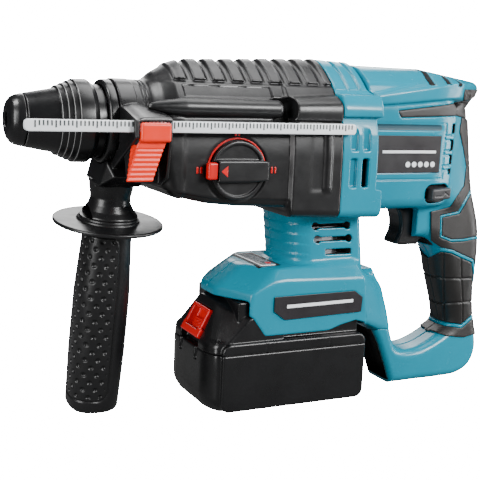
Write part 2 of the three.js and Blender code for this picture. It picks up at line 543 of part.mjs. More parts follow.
// Side handle: clamp with the gauge block, steel strap, grip, bolt, depth gauge and its lock button.
const handleFrame = new THREE.Matrix4()
  .makeTranslation(GRIP.x, 0, 0)
  .multiply(new THREE.Matrix4().makeRotationX(THREE.MathUtils.degToRad(GRIP.tiltX)))
  .multiply(new THREE.Matrix4().makeRotationY(THREE.MathUtils.degToRad(GRIP.tiltY)));
const inHandle = (body) => solid(geometryOf(body).applyMatrix4(handleFrame));

function sideHandle() {
  const ring = rod('x', 62, 73, 26.1, [0, 0], 28);
  const stem = inHandle(join(
    hull([...roundedPlan(-20, -9, 9, 15, 3), ...roundedPlan(-38, -13, 15, 15, 6)]),
    rod('z', -52, -36, 14.4, [0, 0], 24), rod('z', -59, -51.5, 18.5, [0, 0], 24, 15.2),
  ));
  const gaugeBlock = hull([
    [63.6, -50, -24], [63.6, -50, 6], [63.6, -34.8, -34], [63.6, -34.8, 8], [87, -50, -34], [87, -50, 6], [87, -34.8, -34], [87, -34.8, 8], [70, -50, -34],
  ]);
  const bracket = hull([[62, -36, -33], [62, -36, 8], [73, -36, -33], [73, -36, 8], [62, -10, -30], [73, -10, -30], [62, -20, 16], [73, -20, 16], [62, -2, -46], [73, -2, -46]]);
  const clearance = turned([
    [44, 26.6], [61.7, 26.6], [61.7, 24.3], [73.8, 24.3], [73.8, 26.5], [79.3, 26.5], [90, 34.4], [90, 0.5], [44, 0.5],
  ]);
  const pocket = block([65.7, 85.3], [-60, -36.6], [-33.4, 4.2]);
  const gaugeHole = block([60, 90], [-49.5, -44.5], [-3.5, 3.5]);
  const boltHole = inHandle(rod('z', -60, -10, 4.4, [0, 0], 12));
  place('handle_clamp', cut(join(ring, stem, gaugeBlock, bracket), clearance, rod('x', 40, 100, 1), pocket, gaugeHole, boltHole), MATERIALS.black);
  place('handle_strap', tube('x', 63.5, 71.5, 24, 22.7, [0, 0], 28), MATERIALS.steel);

  const button = join(
    block([66, 85], [-55, -40], [-13, 3.8]),
    hull([[66, -55, -13], [85, -55, -13], [66, -40, -13], [85, -40, -13], [66, -52, -32.8], [82, -52, -32.8], [66, -40, -32.8], [82, -40, -32.8]]),
  );
  place('depth_lock_button', cut(button, block([60, 90], [-52.5, -44.3], [-3.7, 3.7])), MATERIALS.orange);
  const { y, thick, height, from, to } = GAUGE;
  place('depth_gauge', block([from, to], [y - thick / 2, y + thick / 2], [-height / 2, height / 2]), MATERIALS.gauge);

  const group = new THREE.Group();
  group.position.x = GRIP.x;
  group.rotation.x = THREE.MathUtils.degToRad(GRIP.tiltX);
  const tilted = new THREE.Group();
  tilted.rotation.y = THREE.MathUtils.degToRad(GRIP.tiltY);
  group.add(tilted);
  root.add(group);
  const bottom = -GRIP.length;
  const disc = rod('z', -GRIP.disc - 2.2, -GRIP.disc, GRIP.discRadius, [0, 0], 36);
  const hub = rod('z', -GRIP.disc - 0.5, -59.3, 19.5, [0, 0], 32);
  const grip = hull([
    ...roundedPlan(-63, -15.6, 15.6, 15.4, 9), ...roundedPlan(-110, -16.8, 16.8, 16.2, 9),
    ...roundedPlan(bottom + 4, -17.2, 17.2, 16.6, 9), ...roundedPlan(bottom, -14, 14, 13.4, 8),
  ]);
  const boltBore = rod('z', -120, -50, 4.6, [0, 0], 12);
  place('handle_grip', cut(join(disc, hub, grip), boltBore), MATERIALS.black, tilted);
  place('handle_bolt', rod('z', -118, -27.5, 4, [0, 0], 12), MATERIALS.steel, tilted);
}

// Housing screws, driven in from the right side through bosses that meet at the seam.
const screwBoss = ([x, z], body) => rod('y', -60, 60, 4.6, [x, z], 12).intersect(body);
const screwHole = ([x, z, head, tip]) => join(
  rod('y', head, 60, 3.7, [x, z], 12), rod('y', tip - 2, head + 1, 1.9, [x, z], 10),
);

function screws() {
  SCREWS.forEach(([x, z, seat, tip], i) => {
    const head = rod('y', seat + GAP, seat + 3, 3.2, [x, z], 12);
    const shank = rod('y', tip, seat + 1, 1.5, [x, z], 10);
    place(`housing_screw_${i + 1}`, join(head, shank), MATERIALS.steel);
  });
}

chuck();
spindle();
hammer();
gearTrain();
motor();
gearHousing();
modeSelector();
motorHousing();
rearHousing();
gripPads();
controls();
labels();
battery();
sideHandle();
screws();
root.position.set(-REST.x, 0, -REST.z);

export default root;
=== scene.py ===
"""Cordless rotary hammer: the looks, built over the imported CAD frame.

Shapes are laid out in millimetres from the nose of the chuck, with the spindle along X, and are moved to the CAD frame in
metres as they become objects. Most shells are fields: functions of x, y and z that give about how far a point lies outside
the surface. net() turns a field into a mesh.
"""

import json
import math

import bmesh
import bpy
import numpy as np
from mathutils import Matrix, Vector


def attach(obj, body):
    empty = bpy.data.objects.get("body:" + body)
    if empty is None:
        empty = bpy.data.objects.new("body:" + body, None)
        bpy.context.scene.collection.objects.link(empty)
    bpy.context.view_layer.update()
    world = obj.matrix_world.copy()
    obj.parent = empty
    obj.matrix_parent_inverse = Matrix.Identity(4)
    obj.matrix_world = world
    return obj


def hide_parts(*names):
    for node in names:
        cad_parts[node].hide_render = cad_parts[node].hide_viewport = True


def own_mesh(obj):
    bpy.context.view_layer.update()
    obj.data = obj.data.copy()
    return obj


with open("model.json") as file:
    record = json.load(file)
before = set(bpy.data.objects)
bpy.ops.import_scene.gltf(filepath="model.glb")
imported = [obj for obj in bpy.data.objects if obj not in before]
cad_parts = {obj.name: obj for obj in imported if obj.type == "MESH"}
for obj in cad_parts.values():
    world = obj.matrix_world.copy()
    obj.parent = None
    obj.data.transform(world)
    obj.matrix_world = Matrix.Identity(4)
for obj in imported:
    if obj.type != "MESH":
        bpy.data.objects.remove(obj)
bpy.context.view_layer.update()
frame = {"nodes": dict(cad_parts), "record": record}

MM = 0.001
BLOCK = 4                      # fine cells along the side of a coarse sampling block
MARGIN = 2.2                   # how far in millimetres a field may be wrong away from its surface
STEP = 0.75  # cell size of the large shells
FINE = 0.45  # cell size of small detailed pieces
SEAM = 0.12                    # half the gap between left and right halves

NOSE = np.array([-176.0, 0.0, 183.0])  # the chuck's nose in the CAD frame, whose origin is under the battery
FLOOR = -190.4                 # height of the floor below the spindle axis


# ---------------------------------------------------------------- fields

def meet(a, b, r=0.0):
    """Where both fields are inside, with the edge rounded to radius r, which may vary from point to point."""
    if np.isscalar(r) and r == 0:
        return np.maximum(a, b)
    u = np.maximum(a + r, 0)
    v = np.maximum(b + r, 0)
    return np.minimum(np.maximum(a, b), -r) + np.sqrt(u * u + v * v)


def merge(a, b, r=0.0):
    return -meet(-a, -b, r)


def cut(a, b, r=0.0):
    return meet(a, -b, r)


def ramp(value, start, end):
    """Smooth step from 0 at start to 1 at end."""
    t = np.clip((value - start) / (end - start), 0, 1)
    return t * t * (3 - 2 * t)


def band(value, low, high, soft=0.8):
    """1 between low and high, falling to 0 over a soft margin outside them."""
    return ramp(value, low - soft, low) * (1 - ramp(value, high, high + soft))


def box(x, y, z, xs, ys, zs, r=0.0):
    """A box given by its [low, high] along each axis."""
    q = []
    for value, (low, high) in ((x, xs), (y, ys), (z, zs)):
        q.append(np.abs(value - (low + high) / 2) - (high - low) / 2 + r)
    outside = np.sqrt(sum(np.maximum(part, 0) ** 2 for part in q))
    return outside + np.minimum(np.maximum(np.maximum(q[0], q[1]), q[2]), 0) - r


def rod(u, v, w, radius, low, high, r=0.0):
    """A round bar along w; u and v are measured from its axis."""
    side = np.sqrt(u * u + v * v) - radius
    return meet(side, np.abs(w - (low + high) / 2) - (high - low) / 2, r)


def outline(u, v, points):
    """Signed distance to a closed polygon in a plane."""
    nearest = np.full(u.shape, 1e9)
    inside = np.zeros(u.shape, bool)
    for (u0, v0), (u1, v1) in zip(points, points[1:] + points[:1]):
        du, dv = u1 - u0, v1 - v0
        t = np.clip(((u - u0) * du + (v - v0) * dv) / (du * du + dv * dv), 0, 1)
        nearest = np.minimum(nearest, (u - u0 - t * du) ** 2 + (v - v0 - t * dv) ** 2)
        if dv:
            inside ^= ((v0 > v) != (v1 > v)) & (u < u0 + (v - v0) * du / dv)
    return np.where(inside, -1, 1) * np.sqrt(nearest)


def trail(u, v, points):
    """Distance to an open polyline in a plane."""
    nearest = np.full(u.shape, 1e9)
    for (u0, v0), (u1, v1) in zip(points, points[1:]):
        du, dv = u1 - u0, v1 - v0
        t = np.clip(((u - u0) * du + (v - v0) * dv) / (du * du + dv * dv), 0, 1)
        nearest = np.minimum(nearest, (u - u0 - t * du) ** 2 + (v - v0 - t * dv) ** 2)
    return np.sqrt(nearest)


def smooth_loop(points, cuts=4):
    """A closed Catmull-Rom curve through the points, as a polygon."""
    p = np.array(points, float)
    before, after, later = np.roll(p, 1, 0), np.roll(p, -1, 0), np.roll(p, -2, 0)
    rings = []
    for i in range(cuts):
        t = i / cuts
        rings.append(0.5 * (2 * p + (after - before) * t + (2 * before - 5 * p + 4 * after - later) * t * t
                            + (3 * p - before - 3 * after + later) * t ** 3))
    return [tuple(q) for q in np.stack(rings, 1).reshape(-1, 2)]


def prism(flat, across, half, r=0.0):
    """A plane outline's field pushed to both sides of the across axis, with rounded edges."""
    return meet(flat, np.abs(across) - half, r)


def hull(points, r=0.0, mirrored=True):
    """A field for the convex hull of the points. When mirrored, the points lie on the +Y side and stand for both sides."""
    both = list(points) + ([(x, -y, z) for x, y, z in points] if mirrored else [])
    shape = bmesh.new()
    for p in both:
        shape.verts.new(p)
    bmesh.ops.convex_hull(shape, input=shape.verts)
    centre = Vector([sum(p[k] for p in both) / len(both) for k in range(3)])
    planes = {}
    for face in shape.faces:
        face.normal_update()
        normal, at = face.normal.copy(), face.verts[0].co
        if normal.dot(at - centre) < 0:
            normal.negate()
        if mirrored and normal.y < -0.01:
            continue
        planes[tuple(round(n, 2) for n in normal)] = (*normal, normal.dot(at))
    shape.free()

    def field(x, y, z):
        if mirrored:
            y = np.abs(y)
        worst = np.full(x.shape, -1e9)
        total = np.zeros(x.shape)
        for nx, ny, nz, offset in planes.values():
            d = nx * x + ny * y + nz * z - offset
            worst = np.maximum(worst, d)
            total += np.maximum(d + r, 0) ** 2
        return np.minimum(worst, -r) + np.sqrt(total) if r else worst

    return field


# ---------------------------------------------------------------- meshes

def sample(field, low, high, step):
    """Field values on a grid: everywhere coarsely, and finely near the surface."""
    count = np.ceil((high - low) / (step * BLOCK)).astype(int)
    middles = [low[k] + (np.arange(count[k]) + 0.5) * BLOCK * step for k in range(3)]
    coarse = field(*[g.ravel() for g in np.meshgrid(*middles, indexing="ij")]).reshape(count)
    near = np.abs(coarse) < 1.5 * step * math.sqrt(3) + MARGIN
    values = coarse
    for axis in range(3):
        values = np.repeat(values, BLOCK, axis)
        near = np.repeat(near, BLOCK, axis)
    at = np.nonzero(near)
    values[at] = field(*[low[k] + (at[k] + 0.5) * step for k in range(3)])
    return values


def surface_points(field, values, cells, low, step):
    """One point per crossed cell: the mean of its edge crossings, then moved onto the surface."""
    total = np.zeros((len(cells), 3))
    hits = np.zeros(len(cells))
    corners = [(i, j, k) for i in (0, 1) for j in (0, 1) for k in (0, 1)]
    for corner in corners:
        for axis in range(3):
            if corner[axis]:
                continue
            other = np.eye(3, dtype=int)[axis] + corner
            a = values[tuple((cells + corner).T)]
            b = values[tuple((cells + other).T)]
            crossed = (a < 0) != (b < 0)
            t = np.where(crossed, a / np.where(crossed, a - b, 1), 0)
            point = np.tile(np.array(corner, float), (len(cells), 1))
            point[:, axis] += t
            total += point * crossed[:, None]
            hits += crossed
    points = low + (0.5 + cells + total / hits[:, None]) * step
    tiny = step * 0.25
    for _ in range(2):
        d = field(*points.T)
        slope = np.stack([(field(*(points + tiny * e).T) - d) / tiny for e in np.eye(3)], 1)
        move = -d[:, None] * slope / np.maximum((slope ** 2).sum(1), 0.2)[:, None]
        size = np.sqrt((move ** 2).sum(1))[:, None]
        points = points + move * np.minimum(1, 0.45 * step / np.maximum(size, 1e-9))
    return points


def net(field, low, high, step):
    """Points and quads of the field's zero surface inside a box."""
    low, high = np.array(low, float) - step, np.array(high, float) + step
    values = sample(field, low, high, step)
    inside = values < 0
    count = sum(inside[i:inside.shape[0] - 1 + i, j:inside.shape[1] - 1 + j, k:inside.shape[2] - 1 + k].astype(np.int8)
                for i in (0, 1) for j in (0, 1) for k in (0, 1))
    active = (count > 0) & (count < 8)
    cells = np.argwhere(active)
    index = np.full(active.shape, -1, np.int32)
    index[active] = np.arange(len(cells))
    quads = []
    for axis in range(3):
        a, b = (axis + 1) % 3, (axis + 2) % 3
        first = [slice(1, -1)] * 3
        second = [slice(1, -1)] * 3
        first[axis], second[axis] = slice(0, -1), slice(1, None)
        here, there = inside[tuple(first)], inside[tuple(second)]
        at = np.argwhere(here != there)
        leaving = here[tuple(at.T)]
        at[:, a] += 1
        at[:, b] += 1
        around = []
        for da, db in ((1, 1), (0, 1), (0, 0), (1, 0)):
            cell = at.copy()
            cell[:, a] -= da
            cell[:, b] -= db
            around.append(index[tuple(cell.T)])
        quad = np.stack(around, 1)
        quad[~leaving] = quad[~leaving][:, ::-1]
        quads.append(quad)
    return surface_points(field, values, cells, low, step), np.concatenate(quads)


def make(name, points, faces, material, body, stands_for=(), choose=None, flat=False):
    """An object from points in millimetres. choose(x, y, z) gives the material number for a face's middle."""
    mesh = bpy.data.meshes.new(name)
    faces = np.asarray(faces)
    points = np.asarray(points, float)
    mesh.vertices.add(len(points))
    mesh.vertices.foreach_set("co", ((points + NOSE) * MM).ravel())
    mesh.loops.add(faces.size)
    mesh.loops.foreach_set("vertex_index", faces.ravel())
    mesh.polygons.add(len(faces))
    mesh.polygons.foreach_set("loop_start", np.arange(0, faces.size, faces.shape[1]))
    mesh.update(calc_edges=True)
    mesh.validate()
    mesh.polygons.foreach_set("use_smooth", np.full(len(mesh.polygons), not flat))
    materials = material if isinstance(material, list) else [material]
    for m in materials:
        mesh.materials.append(m)
    if choose:
        mesh.polygons.foreach_set("material_index", choose(*points[faces].mean(1).T).astype(np.int32))
    return adopt(bpy.data.objects.new(name, mesh), body, stands_for)


def place(point):
    """A point laid out from the nose in millimetres, as metres in the CAD frame."""
    return Vector((np.array(point, float) + NOSE) * MM)


def adopt(obj, body, stands_for=()):
    """Puts an object in the scene on a CAD body, in place of the CAD nodes it stands for."""
    if obj.name not in bpy.context.scene.collection.objects:
        bpy.context.scene.collection.objects.link(obj)
    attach(obj, body)
    if stands_for:
        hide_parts(*([stands_for] if isinstance(stands_for, str) else stands_for))
    return obj


def halves(name, field, low, high, step, material, body, stands=None, choose=None, right_field=None):
    """The left half of a shell that is the same on both sides, and its mirror image as the right half."""
    stands = stands or name
    cut_field = lambda x, y, z: np.maximum(field(x, y, z), y + SEAM)
    low, high = list(low), list(high)
    high[1] = 0.0
    points, quads = net(cut_field, low, high, step)
    make(f"{name}_left_shell", points, quads, material, body, f"{stands}_left", choose)
    if right_field:
        other = lambda x, y, z: np.maximum(right_field(x, -y, z), y + SEAM)
        points, quads = net(other, low, high, step)
    make(f"{name}_right_shell", points * [1, -1, 1], quads[:, ::-1], material, body, f"{stands}_right", choose)


def solid(name, field, low, high, step, material, body, stands_for=(), choose=None, turn=None):
    """A whole piece from one field; turn is a matrix for pieces worked out in their own frame."""
    points, quads = net(field, low, high, step)
    if turn is not None:
        points = points @ np.array(turn.to_3x3()).T + np.array(turn.translation)
    return make(name, points, quads, material, body, stands_for, choose)


def turned(name, profile, material, body, stands_for=(), sides=128):
    """A closed [x, radius] profile turned about the X axis."""
    ring = np.array(profile, float)
    angle = np.arange(sides) * 2 * math.pi / sides
    points = np.stack([
        np.repeat(ring[:, 0][None], sides, 0), ring[:, 1][None] * np.sin(angle)[:, None],
        ring[:, 1][None] * np.cos(angle)[:, None],
    ], 2).reshape(-1, 3)
    n = len(ring)
    i, j = np.meshgrid(np.arange(sides), np.arange(n), indexing="ij")
    a, b = (i * n + j).ravel(), (i * n + (j + 1) % n).ravel()
    c, d = (((i + 1) % sides) * n + (j + 1) % n).ravel(), (((i + 1) % sides) * n + j).ravel()
    faces = np.stack([a, d, c, b], 1)
    area = sum(x0 * r1 - x1 * r0 for (x0, r0), (x1, r1) in zip(profile, profile[1:] + profile[:1]))
    return make(name, points, faces if area < 0 else faces[:, ::-1], material, body, stands_for)


def rounded(profile, r=0.5, cuts=3):
    """The closed profile with each corner replaced by a short curve of about radius r."""
    result = []
    for before, here, after in zip(profile[-1:] + profile[:-1], profile, profile[1:] + profile[:1]):
        p, q, s = (np.array(v, float) for v in (before, here, after))
        to_p, to_s = p - q, s - q
        reach = min(r, 0.4 * np.linalg.norm(to_p), 0.4 * np.linalg.norm(to_s))
        start = q + to_p / np.linalg.norm(to_p) * reach
        end = q + to_s / np.linalg.norm(to_s) * reach
        for i in range(cuts + 1):
            t = i / cuts
            result.append(tuple((1 - t) ** 2 * start + 2 * t * (1 - t) * q + t * t * end))
    return result


# ---------------------------------------------------------------- materials

def nodes_of(name):
    material = bpy.data.materials.new(name)
    material.use_nodes = True
    tree = material.node_tree
    return material, tree, tree.nodes["Principled BSDF"]


def noise(tree, coordinates, scale, detail=3.0, roughness=0.5):
    node = tree.nodes.new("ShaderNodeTexNoise")
    node.inputs["Scale"].default_value = scale
    node.inputs["Detail"].default_value = detail
    node.inputs["Roughness"].default_value = roughness
    tree.links.new(coordinates, node.inputs["Vector"])
    return node.outputs["Fac"]


def spread(tree, value, from_low, from_high, to_low, to_high):
    node = tree.nodes.new("ShaderNodeMapRange")
    for label, number in zip(("From Min", "From Max", "To Min", "To Max"), (from_low, from_high, to_low, to_high)):
        node.inputs[label].default_value = number
    tree.links.new(value, node.inputs["Value"])
    return node.outputs["Result"]


def mix(tree, factor, a, b, blend="MIX"):
    node = tree.nodes.new("ShaderNodeMix")
    node.data_type = "RGBA"
    node.blend_type = blend
    for socket, value in ((node.inputs[0], factor), (node.inputs[6], a), (node.inputs[7], b)):
        if isinstance(value, bpy.types.NodeSocket):
            tree.links.new(value, socket)
        else:
            socket.default_value = value
    return node.outputs[2]


def surface(name, color, rough, grain=0.02, grain_scale=2500, variation=0.12, metal=0.0, coat=0.0, wear_and_sheen=0.25,
            brushed=None, shine=0.5):
    """A material with cloudy colour, uneven roughness, fine grain in relief and lighter edges, which stand for scuffing
    where the amount is small and are a painted highlight where it is large.
    """
    material, tree, shader = nodes_of(name)
    place = tree.nodes.new("ShaderNodeTexCoord").outputs["Object"]
    cloud = noise(tree, place, 38, 4, 0.6)
    dark = [c * (1 - variation) for c in color] + [1]
    light = [min(1, c * (1 + variation)) for c in color] + [1]
    tone = mix(tree, spread(tree, cloud, 0.3, 0.7, 0, 1), dark, light)
    # Lighter colour on sharp edges: scuffing at small amounts, a painted highlight at large ones.
    edge = tree.nodes.new("ShaderNodeNewGeometry").outputs["Pointiness"]
    wear_and_sheen_tone = [min(1, c * 1.5 + 0.05) for c in color] + [1]
    wear_and_sheen_mask = spread(tree, edge, 0.53, 0.62, 0, wear_and_sheen)
    tree.links.new(mix(tree, wear_and_sheen_mask, tone, wear_and_sheen_tone), shader.inputs["Base Color"])
    patches = noise(tree, place, 90, 5, 0.65)
    tree.links.new(spread(tree, patches, 0.3, 0.7, rough * 0.85, min(1, rough * 1.15)), shader.inputs["Roughness"])
    if brushed:
        stretch = tree.nodes.new("ShaderNodeMapping")
        stretch.inputs["Scale"].default_value = brushed
        tree.links.new(place, stretch.inputs["Vector"])
        place = stretch.outputs["Vector"]
    relief = tree.nodes.new("ShaderNodeBump")
    relief.inputs["Strength"].default_value = 0.35
    relief.inputs["Distance"].default_value = grain * MM
    tree.links.new(noise(tree, place, grain_scale, 2, 0.6), relief.inputs["Height"])
    tree.links.new(relief.outputs["Normal"], shader.inputs["Normal"])
    shader.inputs["Metallic"].default_value = metal
    shader.inputs["Specular IOR Level"].default_value = shine
    shader.inputs["Coat Weight"].default_value = coat
    shader.inputs["Coat Roughness"].default_value = 0.15
    return material


TEAL = surface("teal_plastic", (0.0, 0.21, 0.305), 0.25, grain=0.008, variation=0.04, wear_and_sheen=0.1, shine=0.42)
# Darker teal as painted shade in the recessed strip above the rear label.
TEAL_PAINTED_SHADE = surface("teal_painted_recess_shade", (0.0, 0.05, 0.075), 0.5, variation=0.1)
BLACK = surface("black_plastic", (0.006, 0.006, 0.0065), 0.34, grain=0.05, grain_scale=1400, variation=0.2, wear_and_sheen=0.04)
GLOSS = surface("black_gloss_plastic", (0.004, 0.004, 0.0045), 0.3, grain=0.006, variation=0.2, wear_and_sheen=0.03)
SATIN = surface("black_satin_plastic", (0.005, 0.005, 0.0055), 0.27, grain=0.02, variation=0.2, wear_and_sheen=0.05)
# Black plastic with its sharp edges painted much lighter: a painted highlight along the clamp's edges.
BLACK_EDGE_HIGHLIGHT = surface("black_plastic_painted_edge_highlight", (0.006, 0.006, 0.0065), 0.3, grain=0.03, variation=0.2, wear_and_sheen=0.8)
LEVER_GREY = surface("grey_plastic", (0.04, 0.04, 0.042), 0.34, grain=0.03, variation=0.15, wear_and_sheen=0.1)
# Near-black painted shade, laid on the faces inside vents, slots, the trigger mouth, the arm's pocket and the knob's
# seat.
PAINTED_SHADE = surface("painted_recess_shade", (0.003, 0.003, 0.003), 0.7, variation=0.2, wear_and_sheen=0.0)
RUBBER = surface("grip_rubber_skin", (0.02, 0.018, 0.017), 0.5, grain=0.1, grain_scale=1300, variation=0.12)
PAD = surface("tile_rubber_skin", (0.008, 0.0075, 0.007), 0.45, grain=0.1, grain_scale=1300, variation=0.15)
ORANGE = surface("orange_plastic_skin", (0.85, 0.025, 0.002), 0.35, variation=0.06, wear_and_sheen=0.15)
RED = surface("red_plastic_skin", (0.62, 0.004, 0.004), 0.3, variation=0.08, wear_and_sheen=0.15)
LABEL = surface("label_film_skin", (0.012, 0.010, 0.012), 0.4, grain=0.01, variation=0.1, wear_and_sheen=0.0)
STEEL = surface("steel_skin", (0.55, 0.56, 0.58), 0.3, variation=0.08, metal=1.0, grain=0.02, brushed=(0.05, 1, 1))
IRON = surface("laminated_iron_skin", (0.3, 0.3, 0.32), 0.5, variation=0.15, metal=1.0, grain=0.05, brushed=(1, 1, 4))
BRASS = surface("contact_brass_skin", (0.75, 0.5, 0.2), 0.3, variation=0.1, metal=1.0)
LENS = surface("lens_skin", (0.3, 0.32, 0.34), 0.12, grain=0.01, variation=0.15, coat=1.0)
BOARD = surface("board_skin", (0.02, 0.16, 0.07), 0.45, variation=0.25, grain=0.1, grain_scale=700)
WRAP = surface("cell_wrap_skin", (0.04, 0.17, 0.45), 0.35, variation=0.1)
WHITE = surface("gauge_white_skin", (0.85, 0.88, 0.9), 0.35, variation=0.04, wear_and_sheen=0.1)
MARKS = surface("gauge_mark_ink", (0.03, 0.035, 0.04), 0.5, variation=0.1, wear_and_sheen=0.0)



# ---------------------------------------------------------------- gear housing and rear ring

ROOF = ([79, 88, 97, 110, 135, 167, 203, 232], [27, 33.5, 37.2, 38.5, 39.5, 41.0, 42.5, 41.5])
FLANK = ([79, 97, 135, 166.5, 168.5, 203, 232], [38, 39.2, 40, 41, 44, 45, 45.2])
KEEL = ([79, 88, 92, 112, 132, 166.5, 168.5, 203, 232], [-36, -41, -43, -47.5, -49.6, -51, -56, -57.2, -57.8])
WAIST = -4.0        # height where the arched roof meets the upright flanks
ARCH = 1.55         # exponent of the roof's arch


def case(x, y, z):
    """The arched section shared by the gear housing and the ring behind it."""
    roof, flank, keel = (np.interp(x, *table) for table in (ROOF, FLANK, KEEL))
    flank = flank - 1.6 * ramp(z, -18, 6)
    rise = np.maximum(z - WAIST, 0) / (roof - WAIST)
    arch = ((np.abs(y) / flank) ** ARCH + rise ** ARCH) ** (1 / ARCH)
    return meet((arch - 1) * np.minimum(flank, roof) * 0.93, keel - z, 5.5)


def gear_case(x, y, z):
    side = np.abs(y)
    d = case(x, y, z)
    # Wide ribs over the roof, with rounded lower ends.
    phase = ((x - 95.4) / 12.7) % 1
    rib = ramp(phase, 0, 0.12) * (1 - ramp(phase, 0.66, 0.82)) * band(x, 96, 202, 0.5)
    d = d + 0.8 - 1.7 * rib * ramp(z, 26.5, 28) - 0.8 * (1 - ramp(z, 24.5, 26.5)) - 0.8 * (1 - ramp(x, 95, 99))
    # The flat band under the ribs and the sloped panel below the rail.
    d = d + 0.7 * band(x, 101, 158, 0.7) * band(z, 17.6, 23.6, 0.5) * (side > 20)
    # Nose: a cone from the collar up to the roof, and a soft upright front edge below it.
    spine = np.sqrt(y * y + np.maximum(z, 0) ** 2)
    cone = (spine - 25.9 - 0.74 * (x - 79.5) - 34 * (1 - ramp(z, -10, 12))) * 0.8
    d = meet(d, cone, 6)
    d = meet(d, (80.6 - x) * 0.97 - 0.24 * (z + 20) * (z < -20), 8)
    nose = rod(y, z, x, 25.8, 62, 100, 1.0)
    d = merge(d, nose, 3)
    # Rail in its channel, running into a cave in the raised end cap.
    channel = box(x, side, z, [85, 172], [36.2, 60], [3.6, 17.2], 1.5)
    d = cut(d, channel, 1)
    thick = 5.7 * np.sqrt(np.clip((x - 74) / 24, 0.01, 1))
    rail = meet(np.sqrt((side - 33.6) ** 2 + (z - 10.8) ** 2) - thick, np.abs(x - 118.5) - 45, 4)
    d = merge(d, rail, 0.6)
    cap = CAP(x, y, z)
    d = merge(d, cap, 1.2)
    d = cut(d, rod(side - 35, z - 10.8, x, 8.2, 156, 171.5, 3.5), 0.8)
    d = np.minimum(d, rail)
    # Rear block: a shallow hollow with an upright half-round ridge.
    block = band(z, -37, -3, 4) * (side > 36)
    d = d + 0.35 * band(x, 183, 188, 4) * block - 1.3 * np.maximum(1 - ((x - 192.5) / 3.4) ** 2, 0) * block
    # Ledge along the lower edge and two fine lines round the collar.
    ledge = np.interp(x, [88, 117, 168], [-38.5, -43.4, -45])
    d = d + 0.9 * (1 - ramp(z - ledge, -0.7, 0.7)) * (x < 167.5)
    d = d + 0.6 * (band(x, 77.3, 77.6, 0.4) + band(x, 79.6, 79.9, 0.4)) * (spine < 29)
    # Seat of the mode knob on the left side.
    seat = np.sqrt((x - KNOB[0]) ** 2 + (z - KNOB[1]) ** 2)
    d = cut(d, meet(seat - 20.3, y + 39.2), 0.6)
    d = meet(d, x - 202.8, 0.4)
    return cut(d, rod(y, z, x, 22, 60, 61.9), 0)


CAP = hull([
    (165, 34, 18.5), (165, 39.8, 15.5), (165, 42, 11), (165, 41.2, 3.8), (165, 30, 3.5),
    (203, 36, 20.5), (203, 42.6, 16), (203, 44.2, 11), (203, 43.6, 3.8), (203, 30, 3.5),
], 1.6)
KNOB = (131.0, -26.0)


def ring_rear(z):
    """Where the ring ends, which steps with height."""
    return np.interp(z, [-39.6, -38.6, 5.8, 6.8, 21.8, 23.4], [234.4, 229.6, 229.6, 233.0, 233.0, 229.8])


def ring_case(x, y, z):
    side = np.abs(y)
    d = case(x, y, z)
    # Two arched bands over the top and a lower step behind them.
    arches = band(x, 212.2, 213.6, 0.7) + band(x, 221.2, 222.6, 0.7) + ramp(x, 227.5, 228.5)
    d = d + 1.3 * arches * ramp(z, 23.5, 25.5) - 0.6 * ramp(z, 23.5, 25.5) * (x > 203.5)
    # Belt along the flank.
    belt = hull_belt(x, y, z)
    d = meet(d, (x - ring_rear(z)) * 0.75, 0.8)
    d = merge(d, belt, 0.8)
    # Upright vents: recesses, and one that is open.
    for column, row, depth in ((0, 0, 0.9), (1, 0, 0.9), (0, 1, 0.9), (1, 1, 9)):
        low, high = ((-13.8, 5.2), (-37.2, -18.6))[row]
        middle = 211.6 + 9 * column
        slot = box(x, side, z, [middle - 2.6, middle + 2.6], [43.6 - depth, 60], [low, high], 1.2)
        d = cut(d, slot, 0.5)
    return meet(d, 203.1 - x, 0.4)


hull_belt = hull([
    (203.1, 30, 22.6), (203.1, 39.6, 21.8), (203.1, 43.5, 16), (203.1, 44.6, 10), (203.1, 43.8, 7.3), (203.1, 30, 7),
    (232.8, 30, 22.6), (232.8, 39.6, 21.4), (232.8, 43.5, 16), (232.8, 44.6, 10), (232.8, 43.8, 7.3), (232.8, 30, 7),
], 1.4)


# ---------------------------------------------------------------- neck, foot and arm

FOOT_HULL = hull([
    (131.6, 0, -104.5), (131.8, 12, -105), (131.6, 0, -112), (131.8, 12, -112), (137.7, 20, -106), (137.7, 20, -114),
    (151, 0, -90.2), (151, 10, -90.4), (155, 15, -90.5), (168, 31.5, -90.2), (228, 30, -90.2),
    (148, 37.2, -105), (168, 37.5, -97.5), (232, 37.5, -99), (146, 37, -119), (158, 37.5, -134), (236, 36, -134),
    (131.6, 0, -134), (137.7, 20, -134),
], 1.8)
SKIRT = [
    (100, -80), (100, -113), (131, -113), (143, -117.5), (149, -121.5), (158, -134), (204, -134), (214, -130.6),
    (226, -128), (233, -130), (238, -135.4), (241, -141), (246, -160), (300, -160), (300, -80),
]
TAIL_HULL = hull([
    (222, 34, -94), (224, 37.2, -99), (226, 37.2, -128), (238, 30, -98.5), (240, 30, -134), (250, 17.5, -102.5),
    (262.5, 15.5, -119), (270, 15.5, -144), (254, 15.5, -144), (247, 20, -139),
], 4)


def arm_parting(x):
    """Height of the joint between the motor housing's arm and the rear housing's loop."""
    return -142.5 - 0.16 * np.maximum(x - 262, 0)


